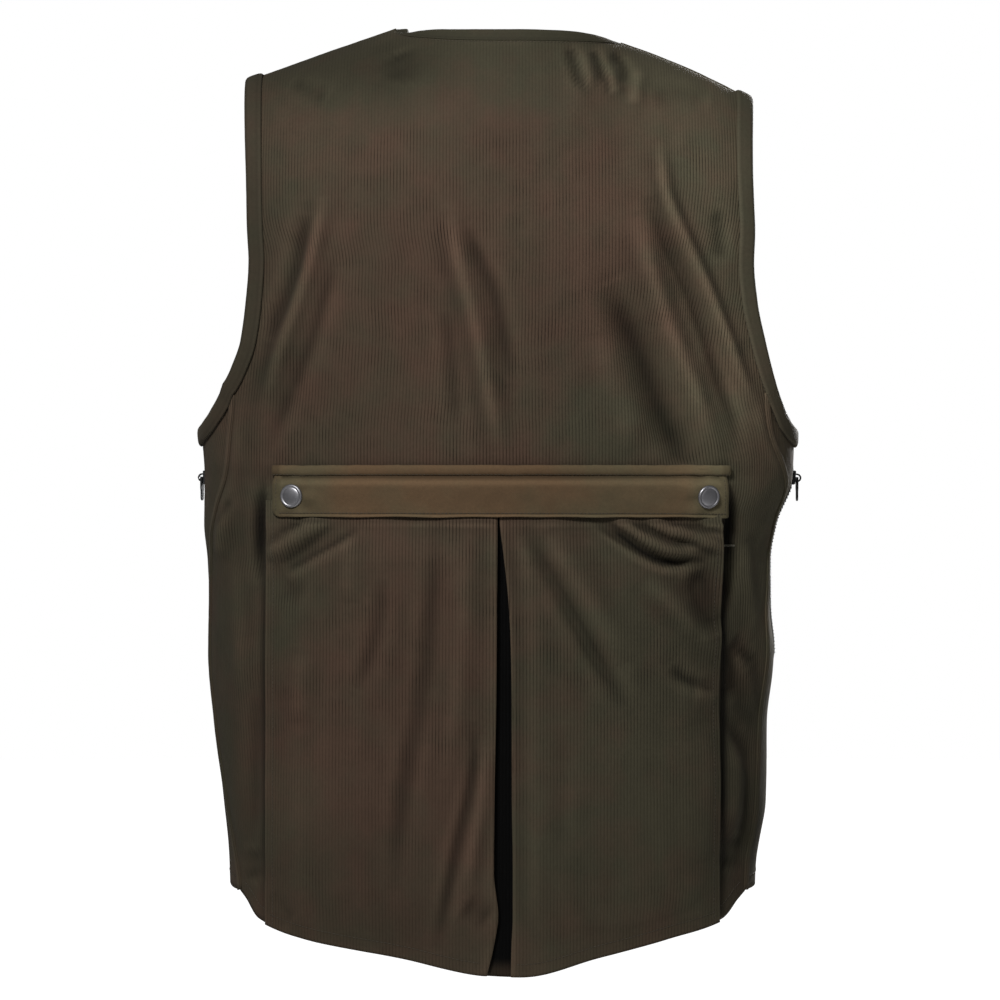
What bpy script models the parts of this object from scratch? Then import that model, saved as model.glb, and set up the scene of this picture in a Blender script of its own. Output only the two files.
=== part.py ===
"""Hunting vest, worn form with no wearer: ribbed cloth back and fronts, bound neck and armholes,
a pleated game pocket under a snapped flap on the back, a centre front zip and a zipped hand
pocket at each side.

Metres, +Z up. The wearer faces +Y, so the back faces -Y and +X is the wearer's right.
The origin lies level with the side neck points, midway between the fronts and the back.
"""

import math
from collections import namedtuple

import bmesh
import bpy
from mathutils import Matrix, Vector
from mathutils.bvhtree import BVHTree

for thing in list(bpy.data.objects):
    bpy.data.objects.remove(thing)

# Cloth
WALL = 0.0015  # body cloth with its facing
POCKET_WALL = 0.0011
FLAP_WALL = 0.0015
BAND_WALL = 0.0019  # turned and stitched edge band
SEAM_GAP = 0.0003
BAND = 0.009  # width of the neck and armhole bands
BAND_PROUD = 0.0003

# The body of the vest, as rings round a general figure. Each half has its own width,
# because the vest hangs a little to one side.
Ring = namedtuple("Ring", "z left right back front")
RINGS = (
    Ring(-0.060, 0.2240, 0.2260, 0.104, 0.092),
    Ring(-0.110, 0.2270, 0.2290, 0.115, 0.106),
    Ring(-0.170, 0.2300, 0.2315, 0.1225, 0.120),
    Ring(-0.240, 0.2315, 0.2325, 0.1240, 0.131),
    Ring(-0.312, 0.2300, 0.2310, 0.1215, 0.134),
    Ring(-0.350, 0.2282, 0.2300, 0.1190, 0.133),
    Ring(-0.385, 0.2280, 0.2170, 0.1175, 0.131),
    Ring(-0.415, 0.2252, 0.2120, 0.1165, 0.129),
    Ring(-0.450, 0.2240, 0.2122, 0.1160, 0.127),
    Ring(-0.485, 0.2243, 0.2152, 0.1160, 0.125),
    Ring(-0.540, 0.2198, 0.2100, 0.1165, 0.122),
    Ring(-0.600, 0.2126, 0.2094, 0.1175, 0.119),
    Ring(-0.650, 0.2082, 0.2016, 0.1180, 0.116),
    Ring(-0.740, 0.2060, 0.1985, 0.1180, 0.114),
)
BACK_ROUNDNESS = 2.45  # exponent of the ring's outline: 2 is an ellipse
FRONT_ROUNDNESS = 2.25

# Side seam, in degrees round from the centre back. The fronts wrap round to the back.
Seam = namedtuple("Seam", "z left right")
SEAM = (
    Seam(-0.286, 58.0, 60.0),
    Seam(-0.300, 58.5, 60.5),
    Seam(-0.320, 60.0, 63.0),
    Seam(-0.349, 63.0, 73.0),
    Seam(-0.372, 68.5, 78.5),
    Seam(-0.400, 74.5, 80.0),
    Seam(-0.430, 78.5, 79.0),
    Seam(-0.455, 80.0, 76.5),
    Seam(-0.485, 80.5, 74.0),
    Seam(-0.550, 80.0, 72.0),
    Seam(-0.600, 77.0, 70.5),
    Seam(-0.660, 70.0, 70.0),
)

# Edge of the cloth at each armhole, inside its band. The upper part gives the angle at a
# height, the underarm gives the height at an angle.
Armhole = namedtuple("Armhole", "z back_left back_right front_left front_right")
ARMHOLE = (
    Armhole(-0.130, 48.7, 50.0, 129.0, 127.5),
    Armhole(-0.160, 47.8, 50.1, 129.5, 127.2),
    Armhole(-0.190, 46.9, 49.4, 129.0, 126.0),
    Armhole(-0.220, 47.6, 50.6, 127.8, 124.2),
    Armhole(-0.250, 49.5, 53.8, 126.0, 120.5),
    Armhole(-0.274, 54.0, 57.5, 122.8, 116.0),
    Armhole(-0.286, 57.6, 60.2, 120.2, 113.0),
    Armhole(-0.300, 61.5, 64.0, 115.8, 110.0),
)
Underarm = namedtuple("Underarm", "angle left right")
UNDERARM = (
    Underarm(58.0, -0.2860, -0.2785),
    Underarm(60.0, -0.2940, -0.2860),
    Underarm(64.0, -0.3040, -0.3000),
    Underarm(69.0, -0.3125, -0.3125),
    Underarm(79.0, -0.3205, -0.3215),
    Underarm(90.0, -0.3230, -0.3240),
    Underarm(98.0, -0.3215, -0.3200),
    Underarm(105.0, -0.3170, -0.3090),
    Underarm(112.0, -0.3085, -0.2895),
)
SEAM_TOP = (-0.2860, -0.2860)  # where the side seam meets the left and right armhole
CORNER_ANGLE = 112.0  # where the armhole turns from the underarm up the front
CORNER_Z = (-0.3085, -0.2895)

# Side neck point and shoulder tip of each half, at the outer edge of the bands
Shoulder = namedtuple("Shoulder", "neck_x neck_z tip_x tip_z crown")
LEFT_SHOULDER = Shoulder(-0.0700, 0.0015, -0.1930, -0.0420, 0.0)
RIGHT_SHOULDER = Shoulder(0.0880, -0.0090, 0.1965, -0.0555, 0.0022)
NECK_CENTRE_X = 0.009
BACK_NECK_Y = -0.080
BACK_NECK_DROP = 0.0138  # of the back panel below the side neck points
BACK_NECK_HOLLOW = 0.85  # below 1 the drop comes early, beside the shoulders
STAND_LEAN = 0.45  # how far the cloth leans forward where it stands up at the centre back
EDGE_RISE = (0.38, 2.2)  # slope of the cloth's last strip, at the shoulder and the centre back
CORNER_STRIP = 0.25  # share of the strip's width left at the neck's corners
CAP_Z = -0.130  # above this the panels bend over the shoulders
CHEST_Z = -0.160  # the highest level from which outward is judged

# Hem of the back, and of the fronts
BackHem = namedtuple("BackHem", "x z")
BACK_HEM = (
    BackHem(-0.2080, -0.6550),
    BackHem(-0.2043, -0.6598),
    BackHem(-0.1923, -0.6732),
    BackHem(-0.1822, -0.6869),
    BackHem(-0.1451, -0.7000),
    BackHem(-0.0705, -0.7130),
    BackHem(-0.0080, -0.7255),
    BackHem(0.0180, -0.7265),
    BackHem(0.0750, -0.7130),
    BackHem(0.1286, -0.6998),
    BackHem(0.1724, -0.6869),
    BackHem(0.1854, -0.6732),
    BackHem(0.1980, -0.6598),
)
FRONT_HEM_SIDE = -0.660
FRONT_HEM_MID = -0.678

# Front neckline, as the half width of the front's inner edge
FRONT_EDGE_X = 0.0065  # half of the opening that the zip fills
V_ROW = 3  # the row, counted up from the underarm, where the V starts
V_CURVE = 1.12  # above 1 the neckline is hollowed
V_BAND_ROOM = 1.02  # the band's width at the V's point, as a share of the room beside the chain

# Rows and columns of the panels' cloth
BODY_ROWS = 15
ARM_ROWS = 9
CAP_ROWS = 5
SEAM_STRIP = 0.003  # level strip of cloth beside the shoulder seam
NECK_COLUMNS = 7
SHOULDER_COLUMNS = 11
FRONT_COLUMNS = 9
WRAP_COLUMNS = 6
SPLIT_Z = -0.300  # middle of the back, level with the underarm
DRAPE_REACH = 0.03  # how far from its panel a piece on it is looked for
NORMAL_STEP = 0.004  # between the places that give the body's normal
ANGLE_STEP = 0.5  # the same, in degrees
CURL = 0.035  # how much closer the columns lie where the body curves
FOLD_FADE = 0.10
FOLD_END = 0.25  # share of a fold's length over which it dies out, at each end
LEAST_FOLD = 0.00005
FOLD_REACH = 0.985  # share of the half width up to which a fold's direction is taken
FLAT_HALF_HEIGHT = 0.034

# Largest folds of the back, as soft ridges (height above 0) and troughs
Fold = namedtuple("Fold", "x_top z_top x_low z_low width height")
BACK_FOLDS = (
    Fold(0.070, -0.140, 0.176, -0.300, 0.021, 0.0060),
    Fold(0.090, -0.235, 0.140, -0.345, 0.019, -0.0075),
    Fold(0.128, -0.175, 0.196, -0.285, 0.012, -0.0030),
    Fold(-0.040, -0.160, -0.002, -0.315, 0.020, 0.0035),
    Fold(-0.160, -0.150, -0.150, -0.320, 0.018, -0.0030),
    Fold(0.058, -0.020, 0.072, -0.060, 0.008, -0.0030),
    Fold(-0.204, -0.300, -0.216, -0.400, 0.010, 0.0040),
    Fold(0.196, -0.400, 0.190, -0.560, 0.011, -0.0040),
    Fold(0.200, -0.300, 0.226, -0.345, 0.010, 0.0035),
    Fold(-0.196, -0.380, -0.192, -0.470, 0.011, -0.0040),
)

# Game pocket
POCKET_LEFT = -0.1740
POCKET_RIGHT = 0.1690
POCKET_TOP = -0.3680
POCKET_FOLD_TOP = -0.3840  # the pocket lies flat above this, under the flap
POCKET_ROWS = 16
POCKET_LIFT = 0.0031  # middle of the pocket's wall above the back
GUSSET_LIFT = 0.0011
GUSSET_DEPTH = 0.016
FOLD_TURNS = (-67.5, -22.5, 22.5, 67.5)  # degrees round a fold's edge
PLEAT_RETURN = 0.034
PLEAT_SLOPE = 0.04
PLEAT_LAYERS = (0.0011, 0.0031, 0.0051)  # underlay, turned back layer, pocket face
POCKET_HEM_UP = 0.0008
POCKET_COLUMNS = 9
FLAP_SHADE = 0.012  # below the flap, where the pocket's folds grow
Pleat = namedtuple("Pleat", "z left right")
PLEAT = (
    Pleat(-0.368, 0.0006, 0.0018),
    Pleat(-0.383, 0.0002, 0.0024),
    Pleat(-0.413, 0.0000, 0.0058),
    Pleat(-0.444, -0.0002, 0.0090),
    Pleat(-0.474, -0.0004, 0.0106),
    Pleat(-0.519, -0.0008, 0.0114),
    Pleat(-0.595, -0.0022, 0.0116),
    Pleat(-0.648, -0.0026, 0.0122),
    Pleat(-0.680, 0.0006, 0.0122),
    Pleat(-0.705, -0.0030, 0.0112),
    Pleat(-0.730, -0.0090, 0.0108),
)
POCKET_FOLDS = (
    Fold(0.058, -0.386, 0.130, -0.420, 0.0085, 0.0050),
    Fold(0.104, -0.384, 0.150, -0.398, 0.0070, 0.0030),
    Fold(0.020, -0.400, 0.100, -0.540, 0.016, 0.0024),
    Fold(0.110, -0.440, 0.160, -0.520, 0.014, 0.0026),
    Fold(-0.150, -0.430, -0.112, -0.386, 0.010, 0.0034),
    Fold(-0.060, -0.400, -0.062, -0.660, 0.018, 0.0018),
    Fold(-0.016, -0.520, -0.040, -0.690, 0.012, 0.0022),
    Fold(0.060, -0.560, 0.050, -0.700, 0.020, 0.0016),
)

# Flap over the pocket's mouth, and the welt above it
FLAP_LEFT = -0.1676
FLAP_RIGHT = 0.1730
WELT_OVERHANG = (0.0014, 0.0028)
WELT_WALL = 0.0018
FLAP_COLUMNS = 26
FLAP_CORNER = 0.006
FlapRow = namedtuple("FlapRow", "z lift")
FLAP_ROWS = (
    FlapRow(-0.3513, 0.0021),
    FlapRow(-0.3533, 0.0038),
    FlapRow(-0.3565, 0.0049),
    FlapRow(-0.3651, 0.0052),
    FlapRow(-0.3746, 0.0053),
    FlapRow(-0.3806, 0.0053),
)
WELT_ROWS = (FlapRow(-0.3416, 0.0024), FlapRow(-0.34595, 0.0034), FlapRow(-0.3503, 0.0028))
FLAP_OVER_PLEAT = 0.0022  # the flap's extra lift where it passes over the pleat's layers
FLAP_PLEAT_X = 0.004
FLAP_PLEAT_HALF = 0.055
FLAP_PLEAT_SLOPE = 0.045
FLAP_FREE = 0.0025  # lift from which the flap hangs free of the back
FLAP_FREE_SLOPE = 0.0015

# Snap caps, one at each end of the flap
SNAP_X = (-0.1532, 0.1576)
SNAP_Z = -0.3648
SNAP_RADIUS = 0.0090
SNAP_HEIGHT = 0.0028
SNAP_GAP = 0.0005
SNAP_STEPS = 20
SnapRing = namedtuple("SnapRing", "radius height")
SNAP_PROFILE = (
    SnapRing(0.0, 1.0),
    SnapRing(0.45, 0.97),
    SnapRing(0.72, 0.86),
    SnapRing(0.80, 0.74),
    SnapRing(0.90, 0.80),
    SnapRing(1.0, 0.55),
    SnapRing(1.0, 0.2),
    SnapRing(0.93, 0.0),
    SnapRing(0.0, 0.0),
)

# Zips
TAPE = 0.0008
TAPE_HALF = 0.0160
CHAIN_HALF = 0.0026
CHAIN_WALL = 0.0020
FRONT_CHAIN_TOP = 0.0180  # chain's top below the neckline's point
SIDE_TAPE_HALF = 0.0100
SIDE_ZIP_TOP = -0.3410
SIDE_ZIP_LOW = -0.4910
CHAIN_END = 0.004
SIDE_ZIP_ANGLE = (99.0, 94.0)  # round from the centre back, left and right
SIDE_LIFT = 0.0010
SIDE_STACK_GAP = 0.0006
SLIDER_WIDTH = 0.0086
SLIDER_LENGTH = 0.0110
SLIDER_THICK = 0.0028
BRIDGE_WIDTH = 0.0016
BRIDGE_OUTER = 0.0034
BRIDGE_INNER = 0.0022
AXIS_RISE = 0.0016  # tab's axis above the slider's face
TAB_LENGTH = 0.0180
TAB_WIDTH = 0.0074
TAB_THICK = 0.0012
TAB_WINDOW = 0.0046
TAB_BAR = 0.0007  # from the tab's axis to its top edge
TAB_SIDE_GAP = 0.0009  # between the bridge and the tab's window, each side
TAB_NECK = 0.72  # width of the tab's lower part, as a share of the upper
TAB_NECK_FROM = 0.45  # where the tab narrows, as shares of its length
TAB_NECK_TO = 0.60
SLIDER_BEVEL = 0.0007
ARC_STEPS = 8
MERGE = 0.00005  # places closer than this are one

COLOURS = {
    "rib_cloth": (0.060, 0.045, 0.034, 1.0),
    "edge_band": (0.040, 0.036, 0.025, 1.0),
    "flap_cloth": (0.090, 0.062, 0.035, 1.0),
    "zip_tape": (0.012, 0.012, 0.010, 1.0),
    "zip_metal": (0.010, 0.010, 0.010, 1.0),
    "snap_metal": (0.200, 0.195, 0.200, 1.0),
}
METALS = ("zip_metal", "snap_metal")


# Tables

def smooth(table, key, at, column):
    """Monotone cubic through a table's column, at a value of its key column."""
    keys = [getattr(row, key) for row in table]
    values = [getattr(row, column) for row in table]
    if keys[0] > keys[-1]:
        keys.reverse()
        values.reverse()
    if at <= keys[0]:
        return values[0]
    if at >= keys[-1]:
        return values[-1]
    i = max(k for k in range(len(keys) - 1) if keys[k] <= at)
    slopes = [
        (values[k + 1] - values[k]) / (keys[k + 1] - keys[k]) for k in range(len(keys) - 1)
    ]

    def tangent(k):
        if k == 0 or k == len(keys) - 1:
            return slopes[min(k, len(slopes) - 1)]
        if slopes[k - 1] * slopes[k] <= 0:
            return 0.0
        return 2 * slopes[k - 1] * slopes[k] / (slopes[k - 1] + slopes[k])

    span = keys[i + 1] - keys[i]
    t = (at - keys[i]) / span
    return (
        values[i] * (2 * t**3 - 3 * t**2 + 1)
        + tangent(i) * span * (t**3 - 2 * t**2 + t)
        + values[i + 1] * (3 * t**2 - 2 * t**3)
        + tangent(i + 1) * span * (t**3 - t**2)
    )


def ease(t):
    t = min(max(t, 0.0), 1.0)
    return t * t * (3 - 2 * t)


def mix(a, b, t):
    return a + (b - a) * t


def fold_height(folds, x, z):
    """How far the folds of a table push the cloth out at a place on the back."""
    height = 0.0
    for fold in folds:
        along = Vector((fold.x_low - fold.x_top, fold.z_low - fold.z_top))
        here = Vector((x - fold.x_top, z - fold.z_top))
        t = here.dot(along) / along.length_squared
        nearest = along * min(max(t, 0.0), 1.0)
        distance = (here - nearest).length
        fade = ease((t + FOLD_END) / (2 * FOLD_END)) * ease((1 + FOLD_END - t) / (2 * FOLD_END))
        height += fold.height * fade * math.exp(-((distance / fold.width) ** 2))
    return height


# The body surface

def half_width(z, x_sign):
    return smooth(RINGS, "z", z, "right" if x_sign > 0 else "left")


def ring_point(angle, z):
    """Point at an angle round the body: 0 at the centre back, 90 at the right side."""
    turn = math.radians(angle)
    back = abs(angle) <= 90
    roundness = BACK_ROUNDNESS if back else FRONT_ROUNDNESS
    width = half_width(z, math.sin(turn))
    x = math.copysign(width * abs(math.sin(turn)) ** (2 / roundness), math.sin(turn))
    depth = smooth(RINGS, "z", z, "back" if back else "front")
    y = depth * abs(math.cos(turn)) ** (2 / roundness)
    return Vector((x, -y if back else y, z))


def angle_of(x, z, back):
    """The angle at which the ring at z has this x, on its back or front half."""
    roundness = BACK_ROUNDNESS if back else FRONT_ROUNDNESS
    ratio = min(abs(x) / half_width(z, x), 1.0)
    turn = math.degrees(math.asin(ratio ** (roundness / 2)))
    return math.copysign(turn if back else 180 - turn, x)


def plain_back(x, z):
    return ring_point(angle_of(x, z, True), z)


def back_normal(x, z):
    across = plain_back(x + NORMAL_STEP, z) - plain_back(x - NORMAL_STEP, z)
    up = plain_back(x, z + NORMAL_STEP) - plain_back(x, z - NORMAL_STEP)
    return across.cross(up).normalized()


def ring_normal(angle, z):
    across = ring_point(angle + ANGLE_STEP, z) - ring_point(angle - ANGLE_STEP, z)
    up = ring_point(angle, z + NORMAL_STEP) - ring_point(angle, z - NORMAL_STEP)
    return across.cross(up).normalized()


def even_angles(start, stop, count):
    """Angles that part the ring at the underarm evenly, and closer where it curves."""
    fine = 240
    angles = [mix(start, stop, i / fine) for i in range(fine + 1)]
    places = [ring_point(angle, SPLIT_Z) for angle in angles]
    lengths = [0.0]
    for i in range(1, fine + 1):
        step = places[i] - places[i - 1]
        after = places[min(i + 1, fine)] - places[i]
        bend = step.angle(after) if after.length > 0 else 0.0
        lengths.append(lengths[-1] + step.length + CURL * bend)
    parts = []
    i = 0
    for k in range(count + 1):
        while i < fine - 1 and lengths[i + 1] < lengths[-1] * k / count:
            i += 1
        t = (lengths[-1] * k / count - lengths[i]) / (lengths[i + 1] - lengths[i])
        parts.append(mix(angles[i], angles[i + 1], t))
    return parts


def side_name(side):
    return "right" if side > 0 else "left"


def pick(pair, side):
    return pair[1] if side > 0 else pair[0]


def seam_angle(z, side):
    return smooth(SEAM, "z", z, side_name(side))


def armhole_angle(z, side, back):
    return smooth(ARMHOLE, "z", z, ("back_" if back else "front_") + side_name(side))


def row_height(hem, top_z, rise):
    """Rows lie evenly between the hem and the underarm, and follow the top edge near it."""
    return mix(hem, SPLIT_Z, rise) + (top_z - SPLIT_Z) * rise**3


def side_seam(side):
    """Angle and height of each body row's end at the side seam, from the hem up."""
    hem = back_hem(ring_point(side * SEAM[-1].left, SEAM[-1].z).x)
    top_z = pick(SEAM_TOP, side)
    heights = [row_height(hem, top_z, i / BODY_ROWS) for i in range(BODY_ROWS + 1)]
    return [(seam_angle(z, side), z) for z in heights]


def beside(angle, z, distance):
    """The place on the ring at this angle, and one beside it in the same plane."""
    step = math.copysign(ANGLE_STEP, angle)
    place = ring_point(angle, z)
    forward = (ring_point(angle + step, z) - ring_point(angle - step, z)).normalized()
    return place, place + forward * distance


def shoulder_line(shoulder, share):
    """A place on the shoulder seam, from the neck band's edge to the armhole band's."""
    neck = Vector((shoulder.neck_x, 0.0, shoulder.neck_z))
    tip = Vector((shoulder.tip_x, 0.0, shoulder.tip_z))
    along = (tip - neck).normalized()
    crown = Vector((0.0, 0.0, shoulder.crown * math.sin(math.pi * share)))
    return (neck + along * BAND).lerp(tip - along * BAND, share) + crown


def hermite(a, a_dir, b, b_dir, t):
    return (
        a * (2 * t**3 - 3 * t**2 + 1)
        + a_dir * (t**3 - 2 * t**2 + t)
        + b * (3 * t**2 - 2 * t**3)
        + b_dir * (t**3 - t**2)
    )


def cap(low, lower, top, lean, strip):
    """The rows of one column from CAP_Z over the shoulder to its top, above the two lowest."""
    under = top - strip
    reach = (under - low).length
    start = (low - lower).normalized() * reach
    rows = [hermite(low, start, under, lean * reach, i / CAP_ROWS) for i in range(1, CAP_ROWS + 1)]
    return rows + [top]


# Back panel

def back_hem(x):
    return smooth(BACK_HEM, "x", x, "z")


def back_top(k, side):
    """Top of the back's column, the way it leans there and the last strip of its cloth."""
    shoulder = RIGHT_SHOULDER if side > 0 else LEFT_SHOULDER
    corner = shoulder_line(shoulder, 0.0)
    strip = Vector((0.0, SEAM_STRIP, 0.0))
    if k >= NECK_COLUMNS:
        seam = shoulder_line(shoulder, (k - NECK_COLUMNS) / SHOULDER_COLUMNS)
        seam.y -= SEAM_GAP / 2
        return seam, Vector((0.0, 1.0, 0.0)), strip
    turn = math.radians(90 * k / NECK_COLUMNS)
    level = (LEFT_SHOULDER.neck_z + RIGHT_SHOULDER.neck_z) / 2 - BACK_NECK_DROP
    place = Vector(
        (
            mix(NECK_CENTRE_X, corner.x, math.sin(turn)),
            BACK_NECK_Y * math.cos(turn) - SEAM_GAP / 2,
            mix(corner.z, level, math.cos(turn) ** BACK_NECK_HOLLOW),
        )
    )
    steep = math.cos(turn) ** 2
    lean = Vector((0.0, mix(1.0, STAND_LEAN, steep), steep)).normalized()
    inward = Vector((-side * math.sin(turn), math.cos(turn), mix(*EDGE_RISE, steep))).normalized()
    return place, lean, inward * SEAM_STRIP * mix(CORNER_STRIP, 1.0, steep)


def back_grid():
    """The back's outer face, hem to shoulder, each row running left to right. A narrow strip
    beside each edge lies in the plane of the piece that it meets."""
    half = NECK_COLUMNS + SHOULDER_COLUMNS
    shares = [angle / 90 for angle in even_angles(0.0, 90.0, half)]
    columns = []
    for k in range(-half, half + 1):
        side = 1 if k > 0 else -1
        share = shares[abs(k)]
        seam = side_seam(side)
        column, strip = [], []
        for i, (angle, seam_z) in enumerate(seam):
            hem = back_hem(ring_point(side * share * angle, seam[0][1]).x)
            top_z = mix(SPLIT_Z, pick(SEAM_TOP, side), share**3)
            z = seam_z if share == 1 else row_height(hem, top_z, i / BODY_ROWS)
            column.append(ring_point(side * share * angle, z))
            strip.append(beside(side * angle, seam_z, -SEAM_STRIP)[1])
        for i in range(1, ARM_ROWS + 1):
            z = mix(top_z, CAP_Z, i / ARM_ROWS)
            edge_z = mix(pick(SEAM_TOP, side), CAP_Z, i / ARM_ROWS)
            angle = armhole_angle(edge_z, side, True)
            column.append(ring_point(side * share * angle, z))
            strip.append(beside(side * angle, edge_z, -SEAM_STRIP)[1])
        top, lean, last = back_top(abs(k), side)
        column += cap(column[-1], column[-2], top, lean, last)
        fade = ease((half - abs(k)) / half / FOLD_FADE)
        column = [fold_back(place, fade) for place in column]
        if abs(k) < half:
            columns.append(column)
            continue
        strip += [place + shoulder_inward(side) * SEAM_STRIP for place in column[len(strip):]]
        columns += [strip, column] if side > 0 else [column, strip]
    return [list(row) for row in zip(*columns)]


def shoulder_inward(side):
    shoulder = RIGHT_SHOULDER if side > 0 else LEFT_SHOULDER
    return (shoulder_line(shoulder, 0.0) - shoulder_line(shoulder, 1.0)).normalized()


def fold_back(place, fade):
    """The cloth lies flat under the welt and the flap, and is folded elsewhere."""
    from_flap = abs(place.z - SNAP_Z) / FLAT_HALF_HEIGHT
    beyond = (abs(place.x) - FLAP_RIGHT) / GUSSET_DEPTH
    free = max(ease(from_flap - 1), ease(beyond))
    height = fold_height(BACK_FOLDS, place.x, place.z) * fade * free
    if abs(height) < LEAST_FOLD:
        return place
    z = min(place.z, CAP_Z)
    x = math.copysign(min(abs(place.x), half_width(z, place.x) * FOLD_REACH), place.x)
    return place + back_normal(x, z) * height


# Front panels

def neckline_x(z, side):
    """Half width of the front's inner edge: the zip's opening, then the V."""
    v_z = mix(SPLIT_Z, CAP_Z, V_ROW / ARM_ROWS)
    corner = shoulder_line(RIGHT_SHOULDER if side > 0 else LEFT_SHOULDER, 0.0)
    share = min(max((z - v_z) / (corner.z - v_z), 0.0), 1.0)
    return mix(FRONT_EDGE_X, abs(corner.x), share**V_CURVE)


def front_grid(side):
    """A front's outer face, each row running from the zip to the side. The rows up to the
    underarm go on round to the side seam, the ones above end at the armhole."""
    parts = even_angles(180.0, CORNER_ANGLE, FRONT_COLUMNS)
    shares = [(180.0 - angle) / (180.0 - CORNER_ANGLE) for angle in parts]
    corner_z = pick(CORNER_Z, side)
    seam = side_seam(side)
    rows = []
    for i, (angle, seam_z) in enumerate(seam):
        rise = i / BODY_ROWS
        row = []
        for share in shares:
            hem = mix(FRONT_HEM_MID, FRONT_HEM_SIDE, ease(share))
            z = row_height(hem, mix(SPLIT_Z, corner_z, share**3), rise)
            inner = abs(angle_of(side * FRONT_EDGE_X, z, False))
            row.append(ring_point(side * mix(inner, CORNER_ANGLE, share), z))
        for k in range(1, WRAP_COLUMNS):
            share = k / WRAP_COLUMNS
            edge = mix(CORNER_ANGLE, seam[-1][0], share)
            top_z = smooth(UNDERARM, "angle", edge, side_name(side))
            z = row_height(mix(FRONT_HEM_SIDE, seam[0][1], ease(share)), top_z, rise)
            row.append(ring_point(side * mix(CORNER_ANGLE, angle, share), z))
        ends = [beside(side * angle, seam_z, distance)[1] for distance in (SEAM_STRIP, SEAM_GAP)]
        ends[0].z = mix(seam_z, row[-1].z, SEAM_STRIP / (row[-1] - ends[1]).length)
        row += ends
        rows.append(row)
    columns = []
    for k, share in enumerate(shares):
        column = []
        for i in range(1, ARM_ROWS + 1):
            edge_z = mix(corner_z, CAP_Z, i / ARM_ROWS)
            z = mix(mix(SPLIT_Z, CAP_Z, i / ARM_ROWS), edge_z, share**3)
            inner = abs(angle_of(side * neckline_x(z, side), z, False))
            outer = armhole_angle(edge_z, side, False)
            column.append(ring_point(side * mix(inner, outer, share), z))
        top = shoulder_line(RIGHT_SHOULDER if side > 0 else LEFT_SHOULDER, k / FRONT_COLUMNS)
        top.y += SEAM_GAP / 2
        last = Vector((0.0, -SEAM_STRIP, 0.0))
        column += cap(column[-1], column[-2], top, Vector((0.0, -1.0, 0.0)), last)
        columns.append(column)
    return rows + [list(row) for row in zip(*columns)]


# Bands

Station = namedtuple("Station", "place normal away")


def station(grid, i, j, inner_i, inner_j):
    """A place on a panel's edge, its normal and the way off the panel there."""
    place = grid[i][j]
    above = i + 1 < len(grid) and j < len(grid[i + 1])
    up = (grid[i + 1][j] if above else place) - grid[max(i - 1, 0)][j]
    along = grid[i][min(j + 1, len(grid[i]) - 1)] - grid[i][max(j - 1, 0)]
    normal = outward(along.cross(up).normalized(), place)
    return Station(place, normal, place - grid[inner_i][inner_j])


def outward(normal, place):
    """The normal turned to point away from the body's middle line."""
    middle = Vector((0.0, 0.0, min(place.z, CHEST_Z)))
    return normal if normal.dot(place - middle) > 0 else -normal


def joined(one, other):
    """One station where two panels meet."""
    return Station(
        (one.place + other.place) / 2,
        (one.normal + other.normal).normalized(),
        one.away.normalized() + other.away.normalized(),
    )


def band_rows(stations, widths, ring):
    """A strip beside an edge: its near line keeps the seam gap, its far line the width."""
    rows = []
    count = len(stations)
    for i, at in enumerate(stations):
        after = stations[(i + 1) % count if ring else min(i + 1, count - 1)].place
        before = stations[i - 1 if ring else max(i - 1, 0)].place
        across = (after - before).cross(at.normal).normalized()
        if across.dot(at.away) < 0:
            across = -across
        proud = at.place + at.normal * BAND_PROUD
        rows.append([proud + across * SEAM_GAP, proud + across * widths[i]])
    return rows


def armhole_band(back, front, side):
    """Strip round one armhole: up the back from the side seam, down the front and back
    round under the arm."""
    column = len(back[0]) - 1 if side > 0 else 0
    up = [station(back, i, column, i, column - side) for i in range(BODY_ROWS, len(back))]
    down = [
        station(front, i, FRONT_COLUMNS, i, FRONT_COLUMNS - 1)
        for i in range(len(front) - 1, BODY_ROWS, -1)
    ]
    under = [
        station(front, BODY_ROWS, j, BODY_ROWS - 1, j)
        for j in range(FRONT_COLUMNS, len(front[0]))
    ]
    top = joined(up[-1], down[0])
    low = joined(under[-1], up[0])
    stations = [low, *up[1:-1], top, *down[1:], *under[:-1]]
    return band_rows(stations, [BAND] * len(stations), True)


def neck_band(back, fronts):
    """Strip round the neck: up the left front, across the back and down the right front."""
    v_row = BODY_ROWS + V_ROW
    top = len(back) - 1
    half = len(back[0]) // 2
    left = [station(fronts[-1], i, 0, i, 1) for i in range(v_row, top + 1)]
    right = [station(fronts[1], i, 0, i, 1) for i in range(top, v_row - 1, -1)]
    across = [
        station(back, top, j, top - 1, j) for j in range(half - NECK_COLUMNS, half + NECK_COLUMNS + 1)
    ]
    corners = []
    for one, other in ((left[-1], across[0]), (right[0], across[-1])):
        place = (one.place + other.place) / 2
        corners.append(Station(place, one.normal, Vector((-place.x, 0.0, 0.0))))
    stations = [*left[:-1], corners[0], *across[1:-1], corners[1], *right[1:]]
    widths = []
    for at in stations:
        room = (abs(at.place.x) - CHAIN_HALF) * V_BAND_ROOM
        widths.append(min(BAND, room) if at.place.y > SEAM_GAP else BAND)
    return band_rows(stations, widths, False)


# Draping

def panel_tree(grid):
    """The panel's outer face, to lay other pieces on it."""
    places, starts, faces = [], [], []
    for row in grid:
        starts.append(len(places))
        places += row
    for i in range(len(grid) - 1):
        for j in range(min(len(grid[i]), len(grid[i + 1])) - 1):
            a, b = starts[i] + j, starts[i + 1] + j
            faces.append((a, a + 1, b + 1, b))
    return BVHTree.FromPolygons(places, faces)


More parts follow.
